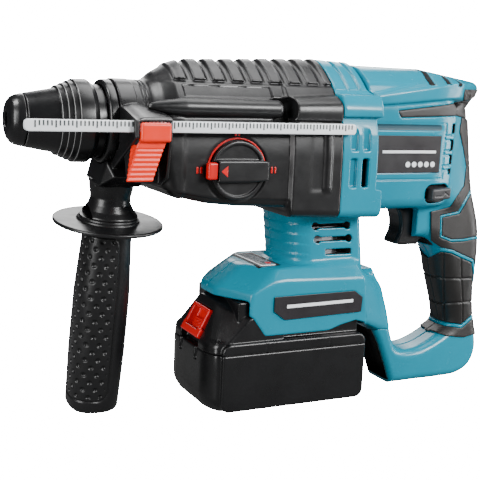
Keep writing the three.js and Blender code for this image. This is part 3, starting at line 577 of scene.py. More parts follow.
def neck(x, y, z):
    slanted = x + 0.12 * (z + 57)
    d = NECK_HULL(slanted, y, 0 * z)
    # Shallow steps round the front.
    steps = 0.9 * (((-z - 57) / 6.6) % 1) * (1 - ramp(slanted, 188, 192))
    d = np.maximum(d * 1.0 + steps * 0.9, np.abs(z + 77) - 24)
    for i, half in enumerate((1.5, 1.5, 1.9)):
        height = -64.8 - 8.8 * i
        start, end = (195.5, 219.5) if i < 2 else (200, 220)
        middle = (start + end) / 2 + (0.9 * i)
        length = (end - start) / 2
        slot = box(slanted, np.abs(y), z, [middle - length, middle + length], [18, 40], [height - half, height + half], 0.5)
        if i < 2:
            for end_x in (middle - length, middle + length):
                slot = np.minimum(slot, rod(slanted - end_x, z - height, np.abs(y), 2.6, 18, 40))
        d = cut(d, slot, 0.4)
    return d


NECK_HULL = hull([
    (174.5 + 17.5 * (1 - math.cos(a)), 27 * math.sin(a), z) for a in np.radians([0, 20, 40, 60, 78, 90]) for z in (-20, 20)
] + [(229, 27, -20), (229, 27, 20), (234, 20, -20), (234, 20, 20)], 1.5)


def foot(x, y, z):
    side = np.abs(y)
    d = merge(FOOT_HULL(x, y, z), TAIL_HULL(x, y, z), 4)
    d = meet(d, outline(x, z, SKIRT), 0.8)
    d = merge(d, neck(x, y, z), 6)
    # Recess for the label, the open belly that takes the battery, the recess for the light's lens and a fine line round
    # it.
    d = d + 0.5 * (outline(x, z, FOOT_LABEL) < 0.5) * (side > 34)
    belly = hull_belly(x, y, z)
    d = cut(d, belly, 0.5)
    d = cut(d, box(x, y, z, [159.6, 172.6], [-20.6, 20.6], [-91.4, -80], 0.6), 0.3)
    rim = np.abs(box(x, y, z, [158.4, 173.8], [-21.8, 21.8], [-100, -80], 1))
    return d + 0.35 * (1 - ramp(rim, 0.3, 0.7)) * (z > -93)


FOOT_LABEL = [(163, -108), (163, -117.5), (171, -123.5), (229, -122), (229.5, -112), (223, -107.5)]
hull_belly = hull([
    (110, 35, -113.2), (150, 35, -110.6), (110, 35, -150), (239, 35, -150), (239, 33.6, -127), (232, 33.4, -110.6),
    (110, 33.4, -110.6), (150, 33.4, -110.2), (232, 30, -110.2), (110, 30, -113),
], 0.8)


def arm_or_loop(x, y, z):
    """The D handle: a ring in the middle plane pushed to both sides with generous rounding."""
    flat = lookup(LOOP_TABLE, x, z)
    slim = ramp(z, -175, -120) * ramp(x, 285, 300)
    r = 6 + 5.5 * slim
    return prism(flat, y, 16.0, r)


LOOP_OUTSIDE = smooth_loop([
    (268, -95), (262, -60), (290, -20), (318, -8), (327, -20), (333, -38), (339.5, -55), (344.5, -72), (346, -90),
    (345.4, -112), (345.6, -130), (347.5, -145), (350, -157), (349.5, -168), (344, -178), (333, -183.6), (318, -184.6),
    (296, -184.6), (276, -184.6), (271.5, -183.6), (266.5, -171), (258.5, -152), (249, -136), (240, -118), (240, -100),
])
LOOP_INSIDE = smooth_loop([
    (256, -104), (262, -113), (266.5, -128), (271, -144), (275.5, -156), (281, -160.4), (289, -160.8), (298, -159.4),
    (308, -155.5), (317, -150.5), (323.4, -146), (324, -140), (319.6, -126), (313.6, -108), (309.3, -93), (302, -84), (290, -78),
    (270, -78), (256, -84), (252, -94),
])


def distance_table(flat, low, high, step=0.5):
    """A plane field worked out once on a grid, for lookup()."""
    u, v = np.meshgrid(np.arange(low[0], high[0], step), np.arange(low[1], high[1], step), indexing="ij")
    return low, step, flat(u.ravel(), v.ravel()).reshape(u.shape)


def lookup(table, u, v):
    low, step, values = table
    i = np.clip((u - low[0]) / step, 0, values.shape[0] - 1.001)
    j = np.clip((v - low[1]) / step, 0, values.shape[1] - 1.001)
    a, b = i.astype(int), j.astype(int)
    s, t = i - a, j - b
    front = values[a, b] * (1 - t) + values[a, b + 1] * t
    back = values[a + 1, b] * (1 - t) + values[a + 1, b + 1] * t
    return front * (1 - s) + back * s


LOOP_TABLE = distance_table(lambda u, v: np.maximum(outline(u, v, LOOP_OUTSIDE), -outline(u, v, LOOP_INSIDE)),
                            (220, -200), (370, 30))


def arm_pocket(x, y, z):
    """The hollow along the arm's front, which leaves a rim on both sides."""
    front = np.interp(z, [-184, -171, -152, -136, -118], [271.5, 266.5, 258.5, 249, 240])
    return np.maximum(np.maximum(np.abs(y) - 12.8, np.abs(z + 154) - 27), (x - front - 8) * 0.9)


def motor_shell(x, y, z):
    d = merge(ring_case(x, y, z), foot(x, y, z), 3)
    tail = meet(arm_or_loop(x, y, z), x - 285)
    tail = meet(tail, outline(x, z, [(236, -96), (285, -96), (285, -200), (236, -200)]), 2)
    d = merge(d, tail, 4)
    d = cut(d, arm_pocket(x, y, z), 0.6)
    return np.maximum(d, arm_parting(x) + 0.3 - z)


# ---------------------------------------------------------------- rear body, handle and loop

BODY_HULL = hull([
    (226, 31.6, -50), (226, 26.6, -55), (226, 32.2, 18), (226, 28, 30.5), (226, 15, 38.6), (226, 0, 40.8),
    (288, 31.6, -50), (288, 26.6, -55), (292, 32.2, 18), (290, 28, 30), (290, 15, 38), (290, 0, 40.2),
    (303, 27.5, -46), (303, 22, -54), (305, 28.5, 14),
], 2.2)
BEAK_HULL = hull([
    (226, 34.4, 14.6), (226, 34.4, 20.8), (252, 35, 16.9), (250, 35, 24.2), (285, 34.4, 20), (287, 34, 29.8),
    (302, 31, 20.8), (306, 30.6, 31.6), (290, 15, 38.4), (286, 0, 40.6), (306, 0, 37.4), (323, 7, 34), (336, 4, 33.2),
    (336, 0, 33.4), (341, 3.4, 28.6), (341, 0, 28.6), (334.5, 4, 19), (326, 9, 13), (316, 24, 20), (322, 20, 31),
], 1.6)
BACK_HULL = hull([
    (298, 29, 12), (298, 29, -40), (298, 22, -52), (318, 22, 12), (320, 20, -8), (326, 12, -20), (331, 10, -36),
    (324.5, 11, 8), (325.5, 8, -4), (337, 9, -52), (330, 14, -60), (303, 24, -50), (315, 23, 20), (327, 8, 20),
], 4)
GUARD = 17.0        # half width of the plane on which the grip's outlines are laid out


def grip_plane(x, y, z):
    """Where a point of the grip is seen on the plane y = -17 from the left front, or its mirror image from the right."""
    inwards = GUARD - np.abs(y)
    return x - 0.75 * inwards, z + 0.3 * inwards


RUBBER_OUTLINE = [
    (316.5, 40), (315.8, 4.5), (315.3, -3.7), (319.9, -15.4), (323.7, -26.6), (323.4, -40.6), (312.7, -56), (295.9, -58.7),
    (297.8, -79.5), (307.8, -85.4), (298.4, -90.9), (290, -92), (270, -92), (260, -146), (304.2, -147.4), (318.8, -152.4),
    (335.2, -154.8), (343.3, -153.5), (375, -152), (375, 40),
]
PAD_OUTLINE = [
    (260, -92), (290.2, -92), (298.4, -90.9), (308.1, -88.2), (317.2, -90), (324.3, -93.1), (336.3, -97.8), (339, -107.4),
    (342.1, -137.1), (331.8, -144.4), (317.8, -141.9), (299.2, -135.8), (260, -128),
]
HEX_LINE = [
    (352, -12), (332.1, -42.3), (321, -60.3), (305.6, -62.6), (306.4, -77.1), (316.3, -80.7), (327.6, -80.7), (365, -76),
]
STUBS = [[(341, -110.6), (365, -105)], [(342.6, -135), (365, -130)]]
STRIPE = [(251.5, 12), (254.6, 7.3), (303.9, 9.2), (340, 4), (340, 22), (310.6, 19.3), (286.2, 16)]
REAR_LABEL = [(237, -4.5), (289, -4.5), (289, -29.5), (237, -29.5)]


def body_core(x, y, z):
    d = merge(BODY_HULL(x, y, z), BACK_HULL(x, y, z), 3)
    handle = np.maximum(arm_or_loop(x, y, z), np.minimum(285.5 - x, z - arm_parting(x)))
    d = merge(d, cut(handle, arm_pocket(x, y, z), 0.6), 7)
    return merge(d, BEAK_HULL(x, y, z), 1.0)


def line_width(x, y, z):
    """Distance from the middle of the raised teal lines over the rubber."""
    u, v = grip_plane(x, y, z)
    d = np.abs(outline(u, v, PAD_OUTLINE) - 1.5) - 1.1
    d = np.minimum(d, trail(u, v, HEX_LINE) - 0.75)
    for stub in STUBS:
        d = np.minimum(d, trail(u, v, stub) - 0.5)
    return d


def rear_shell(x, y, z):
    side = np.abs(y)
    core = body_core(x, y, z)
    u, v = grip_plane(x, y, z)
    covered = outline(u, v, RUBBER_OUTLINE)
    d = core
    # Panel work on the flank: label recess, grooved strip above it, a line below it and the snap slots.
    flank = side > 27
    recess = box(x, side, z, [235.6, 296.5], [31.2, 40], [-0.9, 2.6], 0.5)
    d = cut(d, recess, 0.5)
    frame_line = np.abs(outline(x, z, [(236, 3.6), (293.6, 3.6), (293.6, -34), (236, -34)])) - 0.35
    d = d + 0.5 * (1 - ramp(frame_line, 0, 0.5)) * flank
    d = d + 0.4 * (outline(x, z, REAR_LABEL) < 0.4) * flank
    for low, high in SNAPS:
        d = np.maximum(d, -np.maximum(np.maximum(np.abs(x - 301.4) - 1.3, np.abs(z - (low + high) / 2) - (high - low) / 2), 25 - side))
    for height in (-4.5, -14.8, -25.2):
        hook = trail(x, z, [(299.8, height), (293.4, height), (293.4, height - 3), (299.8, height - 3)])
        d = d + 0.8 * (1 - ramp(hook, 0.3, 0.9)) * flank
    # Slanted vents over the back of the roof.
    for middle, half in ((284, 2.1), (296.8, 1.9), (307, 1.9)):
        lean = middle - 0.6 * (37 - z)
        slot = np.maximum(np.abs(x - lean) - half, np.maximum(29.2 - z, 3.6 - side))
        d = np.maximum(d, -np.maximum(np.maximum(slot, side - 31.5), -core - 6))
    # Rubber wedge stripe lies in a recess.
    stripe = outline(x, z, STRIPE)
    d = np.maximum(d, -np.maximum(np.maximum(stripe, 5 - side), -core - 2.4))
    # Trigger mouth and the oval hole of the direction lever.
    mouth = box(x, y, z, [262, 304.5], [-9.9, 9.9], [-84.8, -56.5], 1)
    mouth = np.minimum(mouth, box(x, y, z, [300, 314], [-9.9, 9.9], [-81.2, -56.5], 1))
    d = cut(d, mouth, 0.5)
    d = cut(d, rounded_slot(x, z, LEVER, 11.6, 6.6, 5.8, side, 24), 0.7)
    # Raised teal lines over the rubber.
    lines = np.maximum(np.maximum(core - 1.25, line_width(x, y, z)), np.maximum(covered + 0.6, -1 - core))
    d = np.minimum(d, np.maximum(lines, -(core + 1)))
    return np.maximum(d, ring_rear(z) + 0.25 - x)


SNAPS = [(-3, 3.7), (-14.6, -7.4), (-24.4, -18), (-31.3, -27.4)]


def rounded_slot(x, z, centre, half_long, half_high, r, across, start):
    flat = box(x, 0 * x, z, [centre[0] - half_long, centre[0] + half_long], [-50, 50],
               [centre[1] - half_high, centre[1] + half_high], r)
    return np.maximum(flat, start - across)


LEVER = (290.5, -44.5)


def rubber_skin(x, y, z):
    core = body_core(x, y, z)
    u, v = grip_plane(x, y, z)
    region = outline(u, v, RUBBER_OUTLINE)
    d = meet(core - 1.2, -core - 0.9, 0.2)
    d = meet(d, region + 0.15, 0.5)
    d = np.maximum(d, np.maximum(-outline(x, z, STRIPE), -40))
    pad = outline(u, v, PAD_OUTLINE)
    d = meet(d, 2.75 - pad, 0.4)
    d = meet(d, 0.95 - trail(u, v, HEX_LINE), 0.3)
    for stub in STUBS:
        d = meet(d, 0.7 - trail(u, v, stub), 0.3)
    return meet(d, BEAK_HULL(x, y, z) * -1 + 0.3, 0.3)


def stripe_skin(x, y, z):
    core = body_core(x, y, z)
    d = meet(outline(x, z, STRIPE) + 0.15, np.maximum(core + 0.3, -core - 2.3), 0.3)
    return np.maximum(d, 5 - np.abs(y))


def pad_skin(x, y, z):
    core = body_core(x, y, z)
    u, v = grip_plane(x, y, z)
    d = meet(core - 1.3, -core - 0.9, 0.2)
    grooves = [[(309.8, -80), (312, -105.9), (314.4, -124.7), (317.1, -150)], [(324.9, -80), (328, -106.8), (331.1, -125.8), (333.5, -150)],
               [(260, -98), (291.2, -102), (312.2, -108.2), (327.1, -109.5), (345, -109.5)],
               [(260, -120), (297.1, -124.4), (315.2, -127.1), (330.1, -127.6), (350, -127)]]
    nearest = np.full(x.shape, 1e3)
    for groove in grooves:
        nearest = np.minimum(nearest, trail(u, v, groove))
    d = d + 0.75 * (1 - ramp(nearest, 0.35, 0.9)) * (core > 0)
    return meet(d, outline(u, v, PAD_OUTLINE) + 0.1, 0.6)


# ---------------------------------------------------------------- battery

BATTERY_BLOCK = hull([
    (119.6, 26, -143), (123, 34.5, -143), (129, 37.3, -143), (232.4, 37.3, -143), (119.8, 26, -176), (123, 34.5, -176),
    (129, 37.3, -178), (232.4, 37.3, -178), (124, 24, -183), (129, 33, -183), (228, 33, -183), (121.5, 27, -136.6),
    (125, 34, -136.6), (131, 35.8, -136.6), (231, 35.8, -136.6),
], 2.6)
WEDGE_HULL = hull([
    (119.9, 24, -141), (123.8, 33, -140), (130, 36.9, -139), (172, 36.9, -139), (132, 0, -113.6), (132.4, 12, -113.6),
    (138.2, 20.4, -116), (147.6, 36.4, -121), (157.6, 36.9, -134.4), (172, 34.4, -118), (172, 27, -112), (150, 0, -112),
], 1.4)


def cheek(x, y, z):
    flat = box(x, 0 * x, z, [127.6, 233.6], [-50, 50], [-181.8, -136.8], 6)
    return meet(flat, np.abs(np.abs(y) - 36.2) - 2.6, 1.3)


def battery_case(x, y, z):
    d = merge(BATTERY_BLOCK(x, y, z), WEDGE_HULL(x, y, z), 2)
    d = merge(d, cheek(x, y, z), 0.5)
    for start, end in ((158.2, 158.6), (205.4, 205.8)):
        d = d + 0.35 * band(x, start, end, 0.35) * band(z, -144, -137.6, 0.4) * (np.abs(y) > 36)
    rails = box(x, y, z, [140, 230], [-32.6, 32.6], [-138, -111.4], 1)
    d = np.minimum(d, rails)
    d = cut(d, box(x, np.abs(y), z, [165, 240], [28.5, 40], [-121, -117], 0.5), 0.3)
    d = cut(d, box(x, y, z, [160, 190], [-14.5, 14.5], [-115.6, -100], 0.3), 0.2)
    a, n = slope_axes(x, z)
    d = cut(d, box(a, y, n, [-3, 22.6], [-14.6, 14.6], [-6.4, 20], 1.2), 0.4)
    return cut(d, box(x, np.abs(y), z, [100, 121.4], [10.4, 14.5], [-152, -143], 0.6), 0.3)


SLOPE = math.radians(62)


def slope_axes(x, z):
    """Position up the battery's front slope and height above it."""
    along, up = math.cos(SLOPE), math.sin(SLOPE)
    dx, dz = x - 120, z + 139.5
    return dx * along + dz * up, dz * along - dx * up


def battery_lower(x, y, z):
    return meet(battery_case(x, y, z), z + 144.15, 0.5)


def battery_upper(x, y, z):
    return meet(battery_case(x, y, z), -143.9 - z, 0.4)


def latch(x, y, z):
    a, n = slope_axes(x, z)
    d = box(a, y, n, [5, 22], [-12, 14.1], [-6, 1], 1.2)
    d = merge(d, box(a, y, n, [1.6, 8], [-14.1, 14.1], [-6, 1.6], 1), 0.8)
    d = cut(d, box(a, y, n, [6.4, 19.6], [-9.4, 10.6], [-4.4, 10], 1), 0.6)
    ridge = box(a, y, n, [6, 14], [-8, 8], [-5, -2.2], 0.8)
    for i in range(4):
        ridge = merge(ridge, box(a, y, n, [7 + 1.8 * i, 7.8 + 1.8 * i], [-7.4, 7.4], [-5, -1.5], 0.3), 0.2)
    return merge(d, ridge, 0.3)


# ---------------------------------------------------------------- side handle

GRIP_FRAME = Matrix.Translation((68, 0, 0)) @ Matrix.Rotation(math.radians(7.07), 4, "X") @ Matrix.Rotation(math.radians(2.1), 4, "Y")
INTO_GRIP = np.array(GRIP_FRAME.inverted())


def in_grip(x, y, z):
    return [INTO_GRIP[k][0] * x + INTO_GRIP[k][1] * y + INTO_GRIP[k][2] * z + INTO_GRIP[k][3] for k in range(3)]


GAUGE_BLOCK = hull([
    (62.6, -52.6, 4.2), (62.6, -53.2, -6.4), (62.6, -28.6, 10.3), (62.6, -21.3, 10.6), (66, -52, 5.4), (84.6, -50.2, 5.2),
    (84.6, -50.4, -7), (84.6, -28.7, 8.4), (66, -29, 11.6), (73, -22, 12.4), (62.6, -34, -33.6), (84.6, -34, -35.6),
    (84.6, -46, -30), (62.6, -44, -24), (84.6, -24, 6),
], 0.7, mirrored=False)
FIN = [
    (-53.6, -6), (-52.9, 4), (-28.5, 10.3), (-21.4, 9.6), (22, 8), (24, -30), (24, -56.5), (17, -56.5), (7.2, -44),
    (3.6, -37), (-20, -24.5),
]
STEM_HULL = hull([
    (-9.5, -14, -22), (9, -14, -22), (-9.5, 14, -22), (9, 14, -22), (-13, -13, -38), (14, -13, -38), (-13, 13, -38),
    (14, 13, -38), (14, -22, -30), (-6, -22, -30),
], 1, mirrored=False)
STEM_RADIUS = ([-60, -58, -55, -51, -47, -42, -36], [18.6, 18, 15.4, 13.2, 12.6, 13.6, 14.4])


def clamp(x, y, z):
    a, b, c = in_grip(x, y, z)
    radius = np.sqrt(y * y + z * z)
    d = rod(y, z, x, 26.1, 62, 73, 0.6)
    d = merge(d, GAUGE_BLOCK(x, y, z), 0.8)
    d = merge(d, meet(outline(y, z, FIN), np.abs(x - 62.4) - 1.4, 0.35), 0.4)
    d = merge(d, STEM_HULL(a, b, c), 1)
    stem = meet((np.sqrt(a * a + b * b) - np.interp(c, *STEM_RADIUS)) * 0.85, np.abs(c + 47.6) - 11.6, 0.6)
    d = merge(d, stem, 1.2)
    d = cut(d, box(x, y, z, [63.4, 82.6], [-70, -34.2], [-40, 3], 0.6), 0.5)
    d = cut(d, np.maximum(radius - 24.3, x - 80))
    d = cut(d, np.maximum(radius - 26.5, -(x - 73.8)))
    d = cut(d, np.maximum(radius - 25.7, x - 61.9))
    d = cut(d, meet((radius - 26.5 - 0.8 * np.maximum(x - 79.3, 0)) * 0.8, 73.9 - x))
    d = cut(d, box(x, y, z, [50, 100], [-49.7, -44.2], [-3.6, 3.6], 0.5))
    return cut(d, box(x, y, z, [50, 64], [-25.6, -18.6], [-15.6, -10.6], 0.5), 0.3)


def lock_button(x, y, z):
    top = box(x, y, z, [63.8, 82.2], [-55.2, -38], [-8.4, 2.6], 1.6)
    body = BUTTON_HULL(x, y, z)
    ribs = ((-z - 11) / 2.7) % 1
    body = body + 0.5 * (1 - np.abs(2 * ribs - 1)) * (z < -12) * (z > -30)
    d = merge(top, body, 1)
    return cut(d, box(x, y, z, [50, 100], [-53, -44.1], [-3.7, 3.7]))


BUTTON_HULL = hull([
    (64, -52, -6), (81.4, -52, -6), (60.2, -52, -20), (76, -52, -20), (56, -52.4, -31), (72.6, -52.4, -31),
    (64, -38, -6), (81.4, -38, -6), (62.4, -42, -20), (76.4, -42, -20), (59, -46.4, -31), (73, -46.4, -31),
], 1, mirrored=False)
GRIP_HALF = [16.6, 17.5, 17.2, 14.4]


def grip(x, y, z):
    """The grip in its own frame: its axis is Z, and the disc is near the top."""
    half = np.interp(z, [-190, -150, -110, -63], GRIP_HALF)
    section = ((np.abs(x) / half) ** 2.6 + (np.abs(y) / half) ** 2.6) ** (1 / 2.6)
    d = meet((section - 1) * half * 0.95, np.abs(z + 126.2) - 63.8, 4.5)
    around = ((np.arctan2(x, -y) + 2.3) % math.pi - 2.3) * 16.5
    # Two dimpled panels, each inside a rounded border line.
    panel = panel_field(around, z)
    d = d + 0.6 * (1 - ramp(np.abs(panel), 0.3, 0.9))
    row = np.round(z / 5.2)
    shift = around - 3.75 * (row % 2)
    dimple = np.sqrt((shift - 7.5 * np.round(shift / 7.5)) ** 2 + (z - 5.2 * row) ** 2)
    d = d + 0.95 * (1 - ramp(dimple, 0.8, 1.8)) * (panel < -2)
    disc = rod(x, y, z, 34.7, -64.8, -62.4, 0.9)
    hub = merge(rod(x, y, z, 19.6, -63, -60.8, 0.8), rod(x, y, z, 18.4, -63, -59.4, 0.6))
    d = merge(d, merge(disc, hub, 0.6), 1.2)
    return d


def panel_field(around, z):
    wide = np.abs(around + 15.5) - 20.5 + 7
    tall = np.abs(z + 125) - 55 + 7
    return np.sqrt(np.maximum(wide, 0) ** 2 + np.maximum(tall, 0) ** 2) + np.minimum(np.maximum(wide, tall), 0) - 7


# ---------------------------------------------------------------- small pieces

def knob(x, y, z):
    u, v = x - KNOB[0], z - KNOB[1]
    d = rod(u, v, y, 18, -43.6, -39.9, 0.9)
    d = cut(d, meet(rod(u, v, y, 15.6, -50, -42.6, 0.3), v - 20), 0.3)
    bar = box(u, y, v, [-15.4, 18.4], [-47.6, -41], [-6.6, 6.4], 1.1)
    bar = meet(bar, np.abs(v) + 0.10 * u - 7.6, 0.6)
    d = merge(d, bar, 0.6)
    d = cut(d, box(u, y, v, [-24, -14.8], [-60, -41.2], [-5.6, 5.6], 0.4))
    return cut(d, box(u, y, v, [-24, -12], [-46.8, -41.2], [-5.6, 5.6]))


def knob_button(x, y, z):
    u, v = x - KNOB[0], z - KNOB[1]
    return box(u, y, v, [-21.4, -15], [-46.5, -41.6], [-5.1, 5.1], 1.2)


def dial(x, y, z):
    u, v = x - KNOB[0], z - KNOB[1]
    radius = np.sqrt(u * u + v * v)
    arc = np.maximum(np.abs(radius - 19.2) - 0.5, 2.0 - v)
    ring = np.maximum(arc, np.abs(y + 39.6) - 0.7)
    marks = 1e3
    for angle in (90, 0, 180):
        a = math.radians(angle)
        p, q = u - 24.6 * math.cos(a), v - 22.6 * math.sin(a)
        bars = np.minimum(box(p, y, q, [-1.9, -0.5], [-60, 60], [-2, 2]), box(p, y, q, [0.5, 1.9], [-60, 60], [-2, 2]))
        marks = np.minimum(marks, bars)
    return ring, marks


TRIGGER_OUTLINE = smooth_loop([
    (275.2, -57.2), (276.6, -62), (278.2, -69), (277.6, -75), (275.4, -80), (274.8, -82.8), (278, -84), (290, -84),
    (292.6, -84), (295, -80), (304, -79), (304, -70), (304, -57.2), (290, -57.2),
], 3)


def trigger(x, y, z):
    flat = outline(x, z, TRIGGER_OUTLINE)
    d = prism(flat, y, 9.3, 2.2)
    return d + 0.35 * (1 - ramp(np.abs(np.abs(y) - 6.4), 0.3, 0.8)) * (x < 286)


def lever(x, y, z):
    tilted = z - 0.07 * (x - LEVER[0])
    d = box(x, y, tilted, [283.2, 298.6], [-35, 35], [LEVER[1] - 3.7, LEVER[1] + 4.1], 1.4)
    mark = trail(x, tilted, [(285.6, -45.6), (291, -45.6), (293.4, -43.2), (296.2, -45.4)])
    return d + 0.5 * (1 - ramp(mark, 0.2, 0.7)) * (np.abs(y) > 33)


def lens(x, y, z):
    return box(x, y, z, [160.1, 172.1], [-20.2, 20.2], [-93.6, -90.1], 0.6)


def screw(x, z, head):
    def field(px, y, pz):
        u, v = px - x, pz - z
        d = rod(u, v, y, 3.3, head + 0.3, head + 2.6, 0.5)
        d = merge(d, rod(u, v, y, 1.5, head - 8, head + 1))
        cross = np.minimum(box(u, y, v, [-2, 2], [head + 1.2, 99], [-0.4, 0.4]), box(u, y, v, [-0.4, 0.4], [head + 1.2, 99], [-2, 2]))
        return cut(d, cross)
    return field


def slab(name, outlines, y_inner, y_outer, material, body, stands_for=(), bevel=0.15):
    """Thin plates standing on a flank: outlines in x and z, between two y values."""
    shape = bmesh.new()
    for points in outlines:
        near, far = [[shape.verts.new(place((px, y, pz))) for px, pz in points] for y in (y_inner, y_outer)]
        for i, vertex in enumerate(near):
            j = (i + 1) % len(near)
            shape.faces.new((vertex, near[j], far[j], far[i]))
        shape.faces.new(near)
        shape.faces.new(far)
    bmesh.ops.recalc_face_normals(shape, faces=shape.faces)
    if bevel:
        bmesh.ops.bevel(shape, geom=shape.edges[:], offset=bevel * MM, segments=2, profile=0.5, affect="EDGES")
    mesh = bpy.data.meshes.new(name)
    shape.to_mesh(mesh)
    shape.free()
    mesh.materials.append(material)
    return adopt(bpy.data.objects.new(name, mesh), body, stands_for)


def circle(x, z, r, sides=20):
    return [(x + r * math.cos(2 * math.pi * i / sides), z + r * math.sin(2 * math.pi * i / sides)) for i in range(sides)]


# ---------------------------------------------------------------- building

def build_housings():
    # Painted shade: the knob's seat on the gear housing takes the near-black shade material.
    seat = lambda x, y, z: np.where((np.hypot(x - KNOB[0], z - KNOB[1]) < 20.5) & (y < -37) & (y > -42), 1, 0)
    solid("gear_housing_shell", gear_case, (60, -47, -60), (204, 47, 47), STEP, [BLACK, PAINTED_SHADE], "housing",
          "gear_housing", seat)
    # Painted shade: the open vent, the slots in the neck, the arm's pocket and the recess round the light lens take the
    # near-black shade material.
    painted_shade_motor = lambda x, y, z: np.where(
        (np.abs(y) < 41) & (x > 217) & (x < 224) & (z < -17) & (z > -38) & (np.abs(y) > 30)
        | (np.abs(y) < 26.5) & (x + 0.12 * (z + 57) > 192.2) & (x < 226) & (z > -86) & (z < -61) & (np.abs(y) > 10)
        | (arm_pocket(x, y, z) < 0.5) & (x > 240)
        | (np.abs(y) < 22.4) & (x > 157.8) & (x < 174.4) & (z > -92) & (z < -89), 1, 0)
    halves("motor_housing", motor_shell, (120, -47, -147), (286, 0, 45), STEP, [TEAL, PAINTED_SHADE], "housing",
           choose=painted_shade_motor)

    # Painted shade: the roof vents, the lever's hole, the snap slots, the trigger mouth and the arm's pocket take the
    # near-black shade material, and the recessed strip above the label takes the darker teal shade.
    def painted_shade_rear(x, y, z):
        roof = (z > 28) & (x > 276) & (x < 312) & (body_core(x, y, z) < -0.7) & (np.abs(y) < 31)
        hole = (body_core(x, y, z) < -1.3) & (np.abs(x - LEVER[0]) < 13) & (np.abs(z - LEVER[1]) < 8)
        snaps = (body_core(x, y, z) < -0.6) & (x > 299.9) & (x < 303.4) & (z < 8) & (z > -36)
        mouth = (np.abs(y) < 10.4) & (z < -56.5) & (z > -85) & (x > 291) & (x < 315)
        pocket = (arm_pocket(x, y, z) < 0.5) & (x > 240) & (z < -120)
        strip = (z > -1.4) & (z < 3) & (x > 235) & (x < 297) & (body_core(x, y, z) < -0.3) & (np.abs(y) > 29)
        return np.where(roof | hole | snaps | mouth | pocket, 1, np.where(strip, 2, 0))

    halves("rear_housing", rear_shell, (228, -37, -187), (352, 0, 43), STEP, [TEAL, PAINTED_SHADE, TEAL_PAINTED_SHADE], "housing",
           choose=painted_shade_rear)
    halves("grip_pad", rubber_skin, (284, -36, -160), (354, 0, 26), STEP, RUBBER, "housing")
    points, quads = net(lambda x, y, z: np.maximum(pad_skin(x, y, z), y + SEAM), (296, -19, -150), (350, 0, -86), STEP * 0.8)
    make("tile_pad_left", points, quads, PAD, "housing")
    make("tile_pad_right", points * [1, -1, 1], quads[:, ::-1], PAD, "housing")
    points, quads = net(lambda x, y, z: np.maximum(stripe_skin(x, y, z), y + 5), (250, -36, 0), (340, -5, 26), STEP)
    make("stripe_pad_left", points, quads, RUBBER, "housing")
    make("stripe_pad_right", points * [1, -1, 1], quads[:, ::-1], RUBBER, "housing")


def build_chuck():
    cap = rounded([(0, 5), (0, 8.6), (0.8, 11), (2.4, 13.2), (5, 14.7), (9.4, 15.7), (9.4, 11.6), (2.5, 9), (2.5, 5)], 0.8)
    turned("dust_cap", cap, GLOSS, "spindle", "chuck_dust_cap")
    profile = [(10, 15.3), (10.4, 15.9)]
    for x, low, high in ((28.6, 19.3, 20.6), (32, 20.9, 22), (35.2, 22.3, 23.4), (38.4, 23.6, 24.7)):
        profile += [(x, low), (x, high), (x + 0.3, high + 0.15)]
    profile += [(46.8, 25.0), (50, 22.8), (50.2, 22), (55, 21.9), (55, 20.4), (42, 20.4), (34, 17.6), (28, 17.6), (28, 11.6), (10, 11.6)]
    sleeve = turned("sleeve", rounded(profile, 0.3), [GLOSS, RIM_HIGHLIGHT], "chuck_sleeve", "chuck_sleeve")
    brighten_rims(sleeve, (10.0, 28.6, 32, 35.2, 38.4))
    ring = [(55.6, 22.3), (55.6, 24.4), (56.6, 25.3), (61.2, 25.3), (61.2, 15.3), (60.6, 15.3), (60.6, 22.3)]
    turned("stop_ring", rounded(ring, 0.5), SATIN, "spindle", "chuck_stop_ring")


def brighten_rims(obj, starts):
    """Gives the small chamfer at the front of each ring the painted-highlight material, a lighter grey that stands in
    for the bright line of light along each edge.
    """
    for polygon in obj.data.polygons:
        x, y, z = np.array(polygon.center) / MM - NOSE
        r = math.hypot(y, z)
        if r > 15.5 and any(start + 0.02 < x < start + 0.3 for start in starts) and abs(polygon.normal.x) > 0.3:
            polygon.material_index = 1


def build_battery():
    solid("battery_base", battery_lower, (118, -40, -185), (236, 40, -143), STEP, GLOSS, "battery", "battery_lower_shell")
    solid("battery_cover", battery_upper, (118, -40, -146), (236, 40, -110), STEP, GLOSS, "battery", "battery_upper_shell")
    solid("latch_button", latch, (112, -18, -147), (140, 18, -114), FINE, RED, "battery_latch", "battery_latch")


